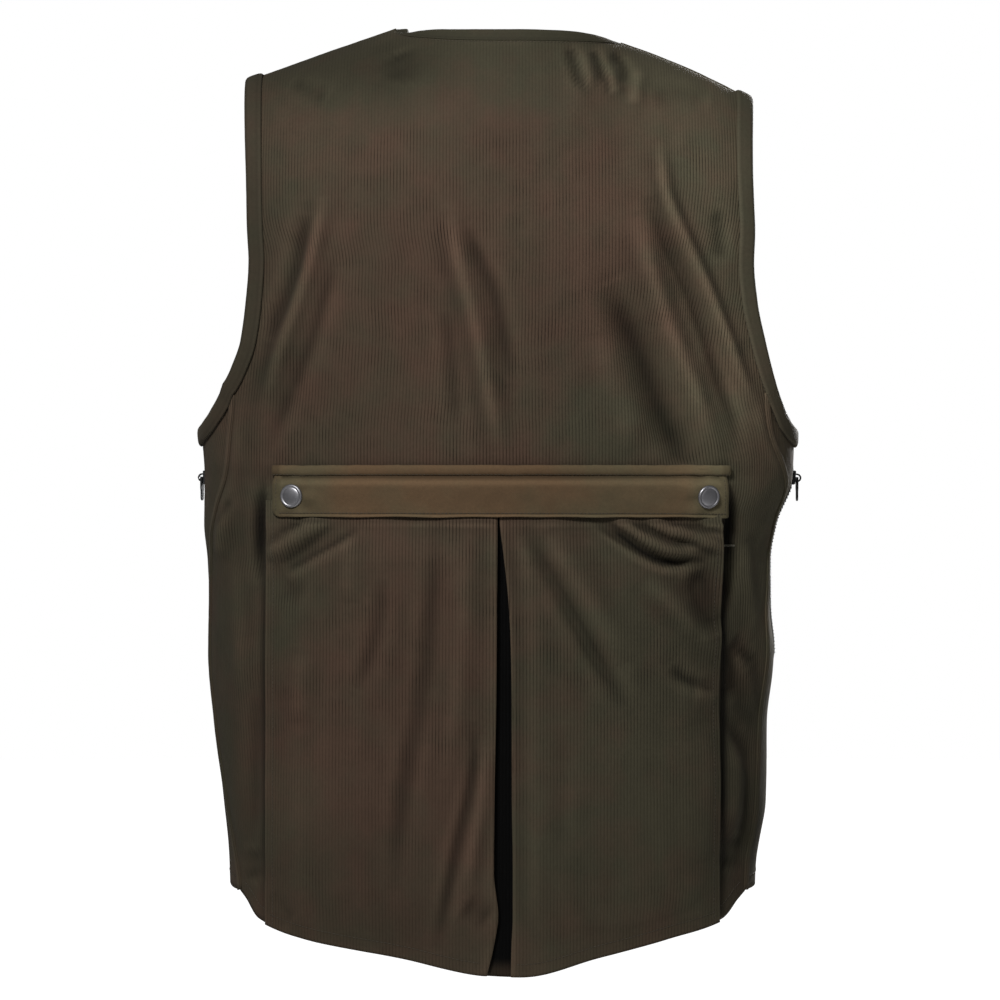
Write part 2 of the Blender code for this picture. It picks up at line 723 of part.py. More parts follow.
def drape(tree, place, out, lift):
    """A place moved along its normal onto the panel's face, then lifted off it."""
    hit = tree.ray_cast(place + out * DRAPE_REACH, -out, 2 * DRAPE_REACH)[0]
    return (hit or place) + out * lift


# Game pocket

def half_turn(x, side, low, high):
    """A fold's rounded edge, from its lower layer to its upper one."""
    radius = (high - low) / 2
    return [
        (
            x + side * radius * math.cos(math.radians(turn)),
            low + radius * (1 + math.sin(math.radians(turn))),
        )
        for turn in FOLD_TURNS
    ]


def pocket_path(z):
    """The pocket's section at a height, as places across the back and lifts off it: turned
    under at both sides, and folded into an inverted box pleat in the middle."""
    left = smooth(PLEAT, "z", z, "left")
    right = smooth(PLEAT, "z", z, "right")
    under, turned, face = PLEAT_LAYERS

    def face_lift(x):
        beyond = max(left - x, x - right, 0.0)
        return mix(face, POCKET_LIFT, ease((beyond - PLEAT_RETURN) / PLEAT_SLOPE))

    def half(fold_x, side, pocket_edge):
        inner = fold_x + side * PLEAT_RETURN
        start = fold_x + side * (face - turned) / 2
        path = [(mix(fold_x, inner, 0.5), under)]
        path += half_turn(inner, side, under, turned)
        path += [(mix(inner, start, 0.5), turned)]
        path += half_turn(start, -side, turned, face)
        edge = pocket_edge - side * (POCKET_LIFT - GUSSET_LIFT) / 2
        for k in range(1, POCKET_COLUMNS + 1):
            x = mix(start, edge, k / POCKET_COLUMNS)
            path.append((x, face_lift(x)))
        path += half_turn(edge, side, GUSSET_LIFT, POCKET_LIFT)[::-1]
        path += [(pocket_edge - side * GUSSET_DEPTH * share, GUSSET_LIFT) for share in (0.5, 1.0)]
        return path

    left_half = half(left, -1, POCKET_LEFT)
    right_half = half(right, 1, POCKET_RIGHT)
    middle = [(mix(left, right, 0.5), under)]
    return left_half[::-1] + middle + right_half


def pocket_grid(tree):
    rows = []
    for i in range(POCKET_ROWS + 1):
        share = max(i - 1, 0) / (POCKET_ROWS - 1)
        start = POCKET_TOP if i == 0 else POCKET_FOLD_TOP
        row = []
        for x, lift in pocket_path(mix(start, back_hem(0.0), share)):
            z = mix(start, back_hem(x) + POCKET_HEM_UP, share)
            swell = 0.0
            if lift > mix(GUSSET_LIFT, POCKET_LIFT, 0.5):
                below_flap = ease((POCKET_FOLD_TOP - z) / FLAP_SHADE)
                swell = max(fold_height(POCKET_FOLDS, x, z), 0.0) * below_flap
            row.append(drape(tree, plain_back(x, z), back_normal(x, z), lift + swell))
        rows.append(row)
    return rows


# Flap and welt

def flap_lift(x, lift):
    over = 1 - ease((abs(x - FLAP_PLEAT_X) - FLAP_PLEAT_HALF) / FLAP_PLEAT_SLOPE)
    return lift + FLAP_OVER_PLEAT * over * ease((lift - FLAP_FREE) / FLAP_FREE_SLOPE)


def flap_grid(tree):
    rows = []
    for n, row in enumerate(FLAP_ROWS):
        cut = FLAP_CORNER if n == len(FLAP_ROWS) - 1 else 0.0
        line = []
        for k in range(FLAP_COLUMNS + 1):
            x = mix(FLAP_LEFT + cut, FLAP_RIGHT, k / FLAP_COLUMNS)
            lift = flap_lift(x, row.lift)
            line.append(drape(tree, plain_back(x, row.z), back_normal(x, row.z), lift))
        rows.append(line)
    return rows


def welt_grid(tree):
    rows = []
    for row in WELT_ROWS:
        line = []
        for k in range(FLAP_COLUMNS + 1):
            x = mix(FLAP_LEFT - WELT_OVERHANG[0], FLAP_RIGHT + WELT_OVERHANG[1], k / FLAP_COLUMNS)
            line.append(drape(tree, plain_back(x, row.z), back_normal(x, row.z), row.lift))
        rows.append(line)
    return rows


# Building objects

def make_material(name):
    material = bpy.data.materials.new(name)
    material.use_nodes = True
    shader = material.node_tree.nodes["Principled BSDF"]
    shader.inputs["Base Color"].default_value = COLOURS[name]
    shader.inputs["Metallic"].default_value = 0.8 if name in METALS else 0.0
    shader.inputs["Roughness"].default_value = 0.4 if name in METALS else 0.85
    return material


def add_object(name, mesh, material):
    mesh.materials.append(MATERIALS[material])
    thing = bpy.data.objects.new(name, mesh)
    GARMENT.objects.link(thing)
    return thing


def sheet(name, grid, wall, offset, material, ring=False):
    """A wall of cloth from a grid of places on it: an open surface with Solidify."""
    starts = [sum(len(row) for row in grid[:i]) for i in range(len(grid))]
    places = [tuple(p) for row in grid for p in row]
    faces = []
    for i in range(len(grid) if ring else len(grid) - 1):
        after = (i + 1) % len(grid)
        for j in range(min(len(grid[i]), len(grid[after])) - 1):
            a = starts[i] + j
            b = starts[after] + j
            faces.append((a, a + 1, b + 1, b))
    mesh = bpy.data.meshes.new(name)
    mesh.from_pydata(places, [], faces)
    middle = mesh.polygons[len(faces) // 2]
    if outward(middle.normal.copy(), middle.center).dot(middle.normal) < 0:
        mesh.flip_normals()
    mesh.shade_smooth()
    thing = add_object(name, mesh, material)
    solid = thing.modifiers.new("cloth", "SOLIDIFY")
    solid.thickness = wall
    solid.offset = offset
    solid.use_even_offset = True
    return thing


def local_frame(place, normal, up):
    """A matrix whose Y points out of the cloth and whose Z runs up along it."""
    out = normal.normalized()
    right = out.cross(up).normalized()
    rise = right.cross(out).normalized()
    return Matrix.Translation(place) @ Matrix((right, out, rise)).transposed().to_4x4()


def snap_cap(name, x, tree):
    """A turned cap: a rim round a shallow dome, flat underneath."""
    mesh = bpy.data.meshes.new(name)
    places = [(at.radius * SNAP_RADIUS, 0.0, at.height * SNAP_HEIGHT) for at in SNAP_PROFILE]
    edges = [(i, i + 1) for i in range(len(places) - 1)]
    mesh.from_pydata(places, edges, [])
    cap_object = add_object(name, mesh, "snap_metal")
    turn = cap_object.modifiers.new("turned", "SCREW")
    turn.axis = "Z"
    turn.steps = SNAP_STEPS
    turn.render_steps = SNAP_STEPS
    turn.use_merge_vertices = True
    turn.merge_threshold = MERGE
    lift = flap_lift(x, FLAP_ROWS[3].lift) + FLAP_WALL / 2 + SNAP_GAP
    out = back_normal(x, SNAP_Z)
    place = drape(tree, plain_back(x, SNAP_Z), out, lift)
    frame = local_frame(place, out, Vector((0.0, 0.0, 1.0)))
    cap_object.matrix_world = frame @ Matrix.Rotation(math.radians(-90), 4, "X")
    return cap_object


def outline_mesh(name, splines, thickness):
    """A flat plate in the XZ plane from 2D outlines, the inner ones being holes."""
    curve = bpy.data.curves.new(name, "CURVE")
    curve.dimensions = "2D"
    curve.fill_mode = "BOTH"
    curve.extrude = thickness / 2
    for places in splines:
        spline = curve.splines.new("POLY")
        spline.points.add(len(places) - 1)
        for point, (x, y) in zip(spline.points, places):
            point.co = (x, y, 0.0, 1.0)
        spline.use_cyclic_u = True
    holder = bpy.data.objects.new(name, curve)
    bpy.context.scene.collection.objects.link(holder)
    bpy.context.view_layer.update()
    evaluated = holder.evaluated_get(bpy.context.evaluated_depsgraph_get())
    mesh = bpy.data.meshes.new_from_object(evaluated)
    bpy.data.objects.remove(holder)
    work = bmesh.new()
    work.from_mesh(mesh)
    bmesh.ops.remove_doubles(work, verts=work.verts, dist=MERGE / 5)
    bmesh.ops.recalc_face_normals(work, faces=work.faces)
    work.to_mesh(mesh)
    work.free()
    mesh.materials.clear()
    return mesh


def arc(radius, start, stop, count, centre=(0.0, 0.0)):
    return [
        (
            centre[0] + radius * math.cos(math.radians(mix(start, stop, i / count))),
            centre[1] + radius * math.sin(math.radians(mix(start, stop, i / count))),
        )
        for i in range(count + 1)
    ]


def zip_slider(name, frame):
    """Slider: a rounded body and, over it, the bridge that holds the tab. The frame's origin
    is the tab's axis."""
    work = bmesh.new()
    bmesh.ops.create_cube(work, size=1.0)
    size = Matrix.Diagonal((SLIDER_WIDTH, SLIDER_THICK, SLIDER_LENGTH, 1.0))
    drop = Matrix.Translation((0.0, -AXIS_RISE - SLIDER_THICK / 2, 0.0))
    bmesh.ops.transform(work, matrix=drop @ size, verts=work.verts)
    bmesh.ops.bevel(work, geom=work.edges[:], offset=SLIDER_BEVEL, segments=1, affect="EDGES")
    mesh = bpy.data.meshes.new(name)
    work.to_mesh(mesh)
    work.free()
    body = add_object(name, mesh, "zip_metal")
    foot = -AXIS_RISE - SLIDER_THICK / 3
    outline = [(BRIDGE_OUTER, foot), *arc(BRIDGE_OUTER, 0, 180, ARC_STEPS), (-BRIDGE_OUTER, foot)]
    outline += [(-BRIDGE_INNER, foot), *arc(BRIDGE_INNER, 180, 0, ARC_STEPS), (BRIDGE_INNER, foot)]
    plate = outline_mesh(name + "_bridge", [outline], BRIDGE_WIDTH)
    bridge = bpy.data.objects.new(name + "_bridge", plate)
    CUTTERS.objects.link(bridge)
    bridge.hide_render = True
    bridge.display_type = "WIRE"
    turn = Matrix(((0.0, 0.0, 1.0), (0.0, 1.0, 0.0), (-1.0, 0.0, 0.0))).to_4x4()
    bridge.matrix_world = frame @ turn
    body.matrix_world = frame
    join = body.modifiers.new("bridge", "BOOLEAN")
    join.operation = "UNION"
    join.object = bridge
    return body


def zip_tab(name, frame):
    """Pull tab: a plate whose top bar lies under the slider's bridge."""
    half = TAB_WIDTH / 2
    neck = half * TAB_NECK
    above = -TAB_LENGTH * TAB_NECK_FROM
    below = -TAB_LENGTH * TAB_NECK_TO
    outer = [(half, TAB_BAR), (-half, TAB_BAR), (-half, above), (-neck, below)]
    outer += arc(neck, 180, 360, ARC_STEPS, (0.0, neck - TAB_LENGTH))
    outer += [(neck, below), (half, above)]
    window = BRIDGE_WIDTH / 2 + TAB_SIDE_GAP
    inner = [(window, -TAB_BAR), (-window, -TAB_BAR), (-window, -TAB_WINDOW), (window, -TAB_WINDOW)]
    tab = add_object(name, outline_mesh(name, [outer, inner], TAB_THICK), "zip_metal")
    stand = Matrix.Rotation(math.radians(90), 4, "X")
    tab.matrix_world = frame @ stand
    return tab


def add_pull(label, place, out):
    """A slider that lies along the cloth, and its tab, which hangs plumb."""
    up = Vector((0.0, 0.0, 1.0))
    zip_slider("zip_slider_" + label, local_frame(place, out, up))
    zip_tab("zip_tab_" + label, local_frame(place, Vector((out.x, out.y, 0.0)), up))


def on_front(tree, angle, z, lift):
    return drape(tree, ring_point(angle, z), ring_normal(angle, z), lift)


def front_zip(fronts, trees):
    v_row = BODY_ROWS + V_ROW
    levels = [fronts[1][i][0].z for i in range(v_row + 1)]
    deep = -(WALL + SEAM_GAP)
    for side, label in ((-1, "left"), (1, "right")):
        rows = []
        for z in levels:
            row = []
            for x in (SEAM_GAP / 2, FRONT_EDGE_X, TAPE_HALF):
                row.append(on_front(trees[side], angle_of(side * x, z, False), z, deep))
            rows.append(row)
        sheet("zip_tape_front_" + label, rows, TAPE, -1.0, "zip_tape")
    chain_top = levels[-1] - FRONT_CHAIN_TOP
    heights = [z for z in levels if z < chain_top - CHAIN_END] + [chain_top]
    lift = deep + SEAM_GAP + CHAIN_WALL
    rows = []
    for z in heights:
        angle = angle_of(CHAIN_HALF, z, False)
        rows.append([on_front(trees[1], way * angle, z, lift) for way in (-1, 1)])
    sheet("zip_chain_front", rows, CHAIN_WALL, -1.0, "zip_tape")
    middle = chain_top + SEAM_GAP + SLIDER_LENGTH / 2
    lift = deep + SEAM_GAP + SLIDER_THICK + AXIS_RISE
    place = on_front(trees[1], 180.0, middle, lift)
    add_pull("front", place, ring_normal(180.0, middle))


def along_ring(angle, z, distance, side):
    """The angle at a distance further round to the front."""
    left = abs(distance)
    way = math.copysign(ANGLE_STEP, distance)
    while True:
        length = (ring_point(side * (angle + way), z) - ring_point(side * angle, z)).length
        if length >= left:
            return angle + way * left / length
        left -= length
        angle += way


def turn_of(place):
    """Angle of a place round the body."""
    back = place.y < 0
    return angle_of(place.x, place.z, back)


def side_zip(side, label, front, tree):
    """Zipped hand pocket near the side seam, sewn flat on the front."""
    middle_angle = pick(SIDE_ZIP_ANGLE, side)

    def strip(heights, offsets, lift):
        rows = []
        for z in heights:
            angles = [side * along_ring(middle_angle, z, across, side) for across in offsets]
            rows.append([on_front(tree, angle, z, lift) for angle in angles])
        return rows

    offsets = [SIDE_TAPE_HALF * k / 2 for k in (-2, -1, 0, 1, 2)]
    column = min(range(len(front[0])), key=lambda j: abs(abs(turn_of(front[0][j])) - middle_angle))
    chain_top = SIDE_ZIP_TOP - CHAIN_END - SLIDER_LENGTH
    heights = [SIDE_ZIP_LOW, SIDE_ZIP_LOW + CHAIN_END]
    heights += [row[column].z for row in front[:BODY_ROWS] if heights[-1] < row[column].z - CHAIN_END]
    heights = [z for z in heights if z < chain_top - CHAIN_END] + [chain_top, SIDE_ZIP_TOP]
    tape = strip(heights, offsets, SIDE_LIFT + TAPE)
    sheet("zip_tape_" + label, tape, TAPE, -1.0, "zip_tape")
    over = SIDE_LIFT + TAPE + SIDE_STACK_GAP
    chain = strip(heights[1:-1], (-CHAIN_HALF, CHAIN_HALF), over + CHAIN_WALL)
    sheet("zip_chain_" + label, chain, CHAIN_WALL, -1.0, "zip_tape")
    middle = chain_top + SEAM_GAP + SLIDER_LENGTH / 2
    angle = side * middle_angle
    place = on_front(tree, angle, middle, over + SLIDER_THICK + AXIS_RISE)
    add_pull(label, place, ring_normal(angle, middle))


def build():
    bpy.context.scene.collection.children.link(GARMENT)
    bpy.context.scene.collection.children.link(CUTTERS)
    back = back_grid()
    fronts = {-1: front_grid(-1), 1: front_grid(1)}
    back_tree = panel_tree(back)
    trees = {side: panel_tree(fronts[side]) for side in (-1, 1)}
    sheet("back_panel", back, WALL, -1.0, "rib_cloth")
    sheet("front_left", fronts[-1], WALL, -1.0, "rib_cloth")
    sheet("front_right", fronts[1], WALL, -1.0, "rib_cloth")
    sheet("neck_band", neck_band(back, fronts), BAND_WALL, -1.0, "edge_band")
    for side in (-1, 1):
        band = armhole_band(back, fronts[side], side)
        sheet("armhole_band_" + side_name(side), band, BAND_WALL, -1.0, "edge_band", True)
    sheet("game_pocket", pocket_grid(back_tree), POCKET_WALL, 0.0, "rib_cloth")
    sheet("pocket_flap", flap_grid(back_tree), FLAP_WALL, 0.0, "flap_cloth")
    sheet("pocket_welt", welt_grid(back_tree), WELT_WALL, -1.0, "flap_cloth")
    for x, label in zip(SNAP_X, ("left", "right")):
        snap_cap("snap_cap_" + label, x, back_tree)
    front_zip(fronts, trees)
    side_zip(-1, "left", fronts[-1], trees[-1])
    side_zip(1, "right", fronts[1], trees[1])


GARMENT = bpy.data.collections.new("hunting_vest")
CUTTERS = bpy.data.collections.new("cutters")
MATERIALS = {name: make_material(name) for name in COLOURS}
build()
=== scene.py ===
# %% [markdown]
# # A ribbed hunting vest
# This lesson dresses a worn but empty hunting vest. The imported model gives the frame: where
# each panel lies, and which pieces move. The three zip tabs swing, and the rest is one body.
# We keep the frame's hard pieces, and make every piece of cloth anew on the same curves,
# with finer rows, because cloth needs folds, turned edges and stitches that a solid leaves out.

# %% Load the frame
import bisect
import functools
import math
from collections import namedtuple

import bmesh
import bpy
from mathutils import Matrix, Vector, noise
from mathutils.bvhtree import BVHTree


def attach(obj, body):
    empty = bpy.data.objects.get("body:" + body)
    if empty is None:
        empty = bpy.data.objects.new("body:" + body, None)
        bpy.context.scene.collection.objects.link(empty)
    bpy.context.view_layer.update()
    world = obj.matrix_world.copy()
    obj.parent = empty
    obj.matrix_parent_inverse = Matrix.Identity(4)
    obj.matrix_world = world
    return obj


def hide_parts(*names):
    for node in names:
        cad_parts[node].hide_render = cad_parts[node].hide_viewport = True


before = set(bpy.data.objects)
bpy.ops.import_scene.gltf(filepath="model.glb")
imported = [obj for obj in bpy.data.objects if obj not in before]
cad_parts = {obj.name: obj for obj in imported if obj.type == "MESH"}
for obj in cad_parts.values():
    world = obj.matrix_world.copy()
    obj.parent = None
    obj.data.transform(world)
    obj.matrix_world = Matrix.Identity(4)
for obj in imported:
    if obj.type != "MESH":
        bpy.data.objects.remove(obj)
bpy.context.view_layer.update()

# %% [markdown]
# ## Camera, light and floor
# The photograph looks level at the back from about three metres, with a long lens, so the
# camera does the same. Dark cloth on pure white needs an even, bright surround that doesn't
# flatten the folds. So the world is white to the camera but gives much less light than that.
# One small lamp, high on the camera's left, draws the folds. A second one, across from it,
# lights the fronts, which the photograph doesn't show.

# %% Camera
CAMERA_DISTANCE = 3.2
CAMERA_X = 0.0023
CAMERA_Z = -0.368
VIEW_WIDTH = 0.78  # seen at the middle of the vest
SENSOR = 36.0  # millimetres

camera_data = bpy.data.cameras.new("camera")
camera_data.sensor_width = SENSOR
camera_data.lens = SENSOR * CAMERA_DISTANCE / VIEW_WIDTH
camera = bpy.data.objects.new("camera", camera_data)
camera.location = (CAMERA_X, -CAMERA_DISTANCE, CAMERA_Z)
camera.rotation_euler = (math.radians(90), 0.0, 0.0)
bpy.context.scene.collection.objects.link(camera)
bpy.context.scene.camera = camera
bpy.context.scene.view_settings.view_transform = "Standard"
print("lens", round(camera_data.lens, 1), "mm")

# %% Light
LAMP_AIM = Vector((0.0, 0.0, -0.32))
WHITE = (1.0, 1.0, 1.0, 1.0)
SURROUND = (0.98, 0.99, 1.0, 1.0)
SURROUND_STRENGTH = 0.14  # where 1 is the white that the camera sees


def soft_box(name, watts, size, place):
    """A square lamp, turned to the vest. It gives light without being seen itself."""
    data = bpy.data.lights.new(name, "AREA")
    data.energy = watts
    data.size = size
    lamp = bpy.data.objects.new(name, data)
    lamp.location = place
    lamp.rotation_euler = (LAMP_AIM - Vector(place)).to_track_quat("-Z", "Y").to_euler()
    lamp.visible_camera = False
    bpy.context.scene.collection.objects.link(lamp)


def background(tree, colour, strength):
    node = tree.nodes.new("ShaderNodeBackground")
    node.inputs["Color"].default_value = colour
    node.inputs["Strength"].default_value = strength
    return node.outputs["Background"]


soft_box("key_light", watts=26.5, size=0.36, place=(-0.42, -1.44, 0.68))
soft_box("front_light", watts=46.0, size=0.50, place=(0.70, 1.45, 0.10))

world = bpy.data.worlds.new("studio")
world.use_nodes = True
bpy.context.scene.world = world
tree = world.node_tree
tree.nodes.clear()
path = tree.nodes.new("ShaderNodeLightPath")
both = tree.nodes.new("ShaderNodeMixShader")
out = tree.nodes.new("ShaderNodeOutputWorld")
tree.links.new(path.outputs["Is Camera Ray"], both.inputs["Fac"])
tree.links.new(background(tree, SURROUND, SURROUND_STRENGTH), both.inputs[1])
tree.links.new(background(tree, WHITE, 1.0), both.inputs[2])
tree.links.new(both.outputs["Shader"], out.inputs["Surface"])
print("surround", SURROUND_STRENGTH, "of white")

# %% Floor
FLOOR_Z = -1.45  # a standing wearer's feet, with the origin at the shoulders
FLOOR_RADIUS = 14.0
FLOOR_GREY = (0.8, 0.8, 0.8, 1.0)

floor_mesh = bpy.data.meshes.new("floor")
work = bmesh.new()
bmesh.ops.create_circle(work, cap_ends=True, segments=96, radius=FLOOR_RADIUS)
bmesh.ops.translate(work, verts=work.verts, vec=(0.0, 0.0, FLOOR_Z))
work.to_mesh(floor_mesh)
work.free()
floor = bpy.data.objects.new("floor", floor_mesh)
bpy.context.scene.collection.objects.link(floor)
paper = bpy.data.materials.new("pale_floor")
paper.use_nodes = True
tree = paper.node_tree
shader = tree.nodes["Principled BSDF"]
shader.inputs["Base Color"].default_value = FLOOR_GREY
shader.inputs["Roughness"].default_value = 0.9
shader.inputs["Emission Color"].default_value = WHITE
path = tree.nodes.new("ShaderNodeLightPath")
tree.links.new(path.outputs["Is Camera Ray"], shader.inputs["Emission Strength"])
floor_mesh.materials.append(paper)
print("floor at", FLOOR_Z)

# %% [markdown]
# ## Numbers that cloth is cut by
# A garment is known by a few girths and lines: how wide and deep it is at each height, where
# the side seams and armholes run, how the shoulders slope and where the hem falls. Each is a
# short table, and a smooth curve through its rows gives every place between them. The curve
# never swings past its rows, so a narrow waist doesn't grow a bulge beside it.

# %% A curve through a table
def clamp(value, low=0.0, high=1.0):
    return min(max(value, low), high)


def ease(t):
    """From 0 to 1 with a slow start and a slow end."""
    t = clamp(t)
    return t * t * (3 - 2 * t)


def mix(a, b, t):
    return a + (b - a) * t


def hermite(start, start_slope, end, end_slope, t):
    """A curve between two values or places, which leaves and meets them at given slopes."""
    return (
        start * (2 * t**3 - 3 * t**2 + 1)
        + start_slope * (t**3 - 2 * t**2 + t)
        + end * (3 * t**2 - 2 * t**3)
        + end_slope * (t**3 - t**2)
    )


@functools.lru_cache(maxsize=None)
def curve_of(table, key, column):
    """Keys, values and slopes of one column, worked out once."""
    rows = sorted((getattr(row, key), getattr(row, column)) for row in table)
    keys = [row[0] for row in rows]
    values = [row[1] for row in rows]
    rises = [
        (values[k + 1] - values[k]) / (keys[k + 1] - keys[k]) for k in range(len(keys) - 1)
    ]
    slopes = [rises[0]]
    for before, after in zip(rises, rises[1:]):
        even = before * after > 0
        slopes.append(2 * before * after / (before + after) if even else 0.0)
    return keys, values, slopes + [rises[-1]]


def smooth(table, key, at, column):
    """A column's value where the key has this value, on a smooth curve through the rows."""
    keys, values, slopes = curve_of(table, key, column)
    if at <= keys[0]:
        return values[0]
    if at >= keys[-1]:
        return values[-1]
    i = bisect.bisect_right(keys, at) - 1
    span = keys[i + 1] - keys[i]
    t = (at - keys[i]) / span
    return hermite(values[i], slopes[i] * span, values[i + 1], slopes[i + 1] * span, t)


# %% The body's girths
Ring = namedtuple("Ring", "z left right back front")
RINGS = (
    Ring(-0.060, 0.2240, 0.2260, 0.104, 0.092),
    Ring(-0.110, 0.2270, 0.2290, 0.115, 0.106),
    Ring(-0.170, 0.2300, 0.2315, 0.1225, 0.120),
    Ring(-0.240, 0.2315, 0.2325, 0.1240, 0.131),
    Ring(-0.312, 0.2300, 0.2310, 0.1215, 0.134),
    Ring(-0.350, 0.2282, 0.2300, 0.1190, 0.133),
    Ring(-0.385, 0.2280, 0.2170, 0.1175, 0.131),
    Ring(-0.415, 0.2252, 0.2120, 0.1165, 0.129),
    Ring(-0.450, 0.2240, 0.2122, 0.1160, 0.127),
    Ring(-0.485, 0.2243, 0.2152, 0.1160, 0.125),
    Ring(-0.540, 0.2198, 0.2100, 0.1165, 0.122),
    Ring(-0.600, 0.2126, 0.2094, 0.1175, 0.119),
    Ring(-0.650, 0.2082, 0.2016, 0.1180, 0.116),
    Ring(-0.740, 0.2060, 0.1985, 0.1180, 0.114),
)
BACK_ROUNDNESS = 2.45  # 2 is an ellipse, and more is squarer
FRONT_ROUNDNESS = 2.25
NEAR = 0.004  # a slope is measured this far to each side
NEAR_ANGLE = 0.5


def half_width(z, x_sign):
    return smooth(RINGS, "z", z, "right" if x_sign > 0 else "left")


def ring_point(angle, z):
    """Place at an angle round the body: 0 at the centre back, 90 at the right side."""
    turn = math.radians(angle)
    back = abs(angle) <= 90
    roundness = BACK_ROUNDNESS if back else FRONT_ROUNDNESS
    width = half_width(z, math.sin(turn))
    x = math.copysign(width * abs(math.sin(turn)) ** (2 / roundness), math.sin(turn))
    depth = smooth(RINGS, "z", z, "back" if back else "front")
    y = depth * abs(math.cos(turn)) ** (2 / roundness)
    return Vector((x, -y if back else y, z))


def angle_of(x, z, back):
    roundness = BACK_ROUNDNESS if back else FRONT_ROUNDNESS
    ratio = min(abs(x) / half_width(z, x), 1.0)
    turn = math.degrees(math.asin(ratio ** (roundness / 2)))
    return math.copysign(turn if back else 180 - turn, x)


def plain_back(x, z):
    return ring_point(angle_of(x, z, True), z)


def back_normal(x, z):
    across = plain_back(x + NEAR, z) - plain_back(x - NEAR, z)
    up = plain_back(x, z + NEAR) - plain_back(x, z - NEAR)
    return across.cross(up).normalized()


def ring_normal(angle, z):
    across = ring_point(angle + NEAR_ANGLE, z) - ring_point(angle - NEAR_ANGLE, z)
    up = ring_point(angle, z + NEAR) - ring_point(angle, z - NEAR)
    return across.cross(up).normalized()


around = [ring_point(angle, -0.3) for angle in range(-180, 181)]
girth = sum((b - a).length for a, b in zip(around, around[1:]))
print("girth at the underarm", round(girth, 3), "m")

# %% [markdown]
# ## Seams, armholes, shoulders and hem
# The fronts wrap round to the back under the arm, so the side seam sits behind the side. Each
# armhole is given as an angle at each height, and under the arm as a height at each angle.
# The left and right halves differ a little, because the vest hangs to one side.

# %% Seams and openings
Seam = namedtuple("Seam", "z left right")
SEAM = (
    Seam(-0.286, 58.0, 60.0),
    Seam(-0.300, 58.5, 60.5),
    Seam(-0.320, 60.0, 63.0),
    Seam(-0.349, 63.0, 73.0),
    Seam(-0.372, 68.5, 78.5),
    Seam(-0.400, 74.5, 80.0),
    Seam(-0.430, 78.5, 79.0),
    Seam(-0.455, 80.0, 76.5),
    Seam(-0.485, 80.5, 74.0),
    Seam(-0.550, 80.0, 72.0),
    Seam(-0.600, 77.0, 70.5),
    Seam(-0.660, 70.0, 70.0),
)
Armhole = namedtuple("Armhole", "z back_left back_right front_left front_right")
ARMHOLE = (
    Armhole(-0.130, 48.7, 50.0, 129.0, 127.5),
    Armhole(-0.160, 47.8, 50.1, 129.5, 127.2),
    Armhole(-0.190, 46.9, 49.4, 129.0, 126.0),
    Armhole(-0.220, 47.6, 50.6, 127.8, 124.2),
    Armhole(-0.250, 49.5, 53.8, 126.0, 120.5),
    Armhole(-0.274, 54.0, 57.5, 122.8, 116.0),
    Armhole(-0.286, 57.6, 60.2, 120.2, 113.0),
    Armhole(-0.300, 61.5, 64.0, 115.8, 110.0),
)
Underarm = namedtuple("Underarm", "angle left right")
UNDERARM = (
    Underarm(58.0, -0.2860, -0.2785),
    Underarm(60.0, -0.2940, -0.2860),
    Underarm(64.0, -0.3040, -0.3000),
    Underarm(69.0, -0.3125, -0.3125),
    Underarm(79.0, -0.3205, -0.3215),
    Underarm(90.0, -0.3230, -0.3240),
    Underarm(98.0, -0.3215, -0.3200),
    Underarm(105.0, -0.3170, -0.3090),
    Underarm(112.0, -0.3085, -0.2895),
)
SEAM_TOP = -0.2860
CORNER_ANGLE = 112.0  # where a front's armhole turns from under the arm up to the shoulder
CORNER_Z = (-0.3085, -0.2895)  # on the left and on the right
Shoulder = namedtuple("Shoulder", "neck_x neck_z tip_x tip_z crown")
LEFT_SHOULDER = Shoulder(-0.0700, 0.0015, -0.1930, -0.0420, 0.0)
RIGHT_SHOULDER = Shoulder(0.0880, -0.0090, 0.1965, -0.0555, 0.0022)
BackHem = namedtuple("BackHem", "x z")
BACK_HEM = (
    BackHem(-0.2080, -0.6550),
    BackHem(-0.2043, -0.6598),
    BackHem(-0.1923, -0.6732),
    BackHem(-0.1822, -0.6869),
    BackHem(-0.1451, -0.7000),
    BackHem(-0.0705, -0.7130),
    BackHem(-0.0080, -0.7255),
    BackHem(0.0180, -0.7265),
    BackHem(0.0750, -0.7130),
    BackHem(0.1286, -0.6998),
    BackHem(0.1724, -0.6869),
    BackHem(0.1854, -0.6732),
    BackHem(0.1980, -0.6598),
)
FRONT_HEM_SIDE = -0.660
FRONT_HEM_MID = -0.678
NECK_CENTRE_X = 0.009
BACK_NECK_Y = -0.080
BACK_NECK_DROP = 0.0138
CAP_Z = -0.130  # above this the cloth bends over the shoulder
SPLIT_Z = -0.300  # rows are level below this, and follow the armhole above it
SEAM_GAP = 0.0003
BAND = 0.009
FRONT_EDGE_X = 0.0065
V_CURVE = 1.12  # 1 is a straight V

# %% Fine rows and columns of the cloth
FINE = 5  # rows and columns of fine cloth for each one of the solid
BODY_ROWS = 15 * FINE
ARM_ROWS = 9 * FINE
CAP_ROWS = 5 * FINE
V_ROW = 3 * FINE
NECK_COLUMNS = 7 * FINE
SHOULDER_COLUMNS = 11 * FINE
FRONT_COLUMNS = 9 * FINE
WRAP_COLUMNS = 6 * FINE


def side_name(side):
    return "right" if side > 0 else "left"


def pick(pair, side):
    return pair[1] if side > 0 else pair[0]


def shoulder_of(side):
    return RIGHT_SHOULDER if side > 0 else LEFT_SHOULDER


def back_hem(x):
    return smooth(BACK_HEM, "x", x, "z")


def armhole_angle(z, side, back):
    return smooth(ARMHOLE, "z", z, ("back_" if back else "front_") + side_name(side))


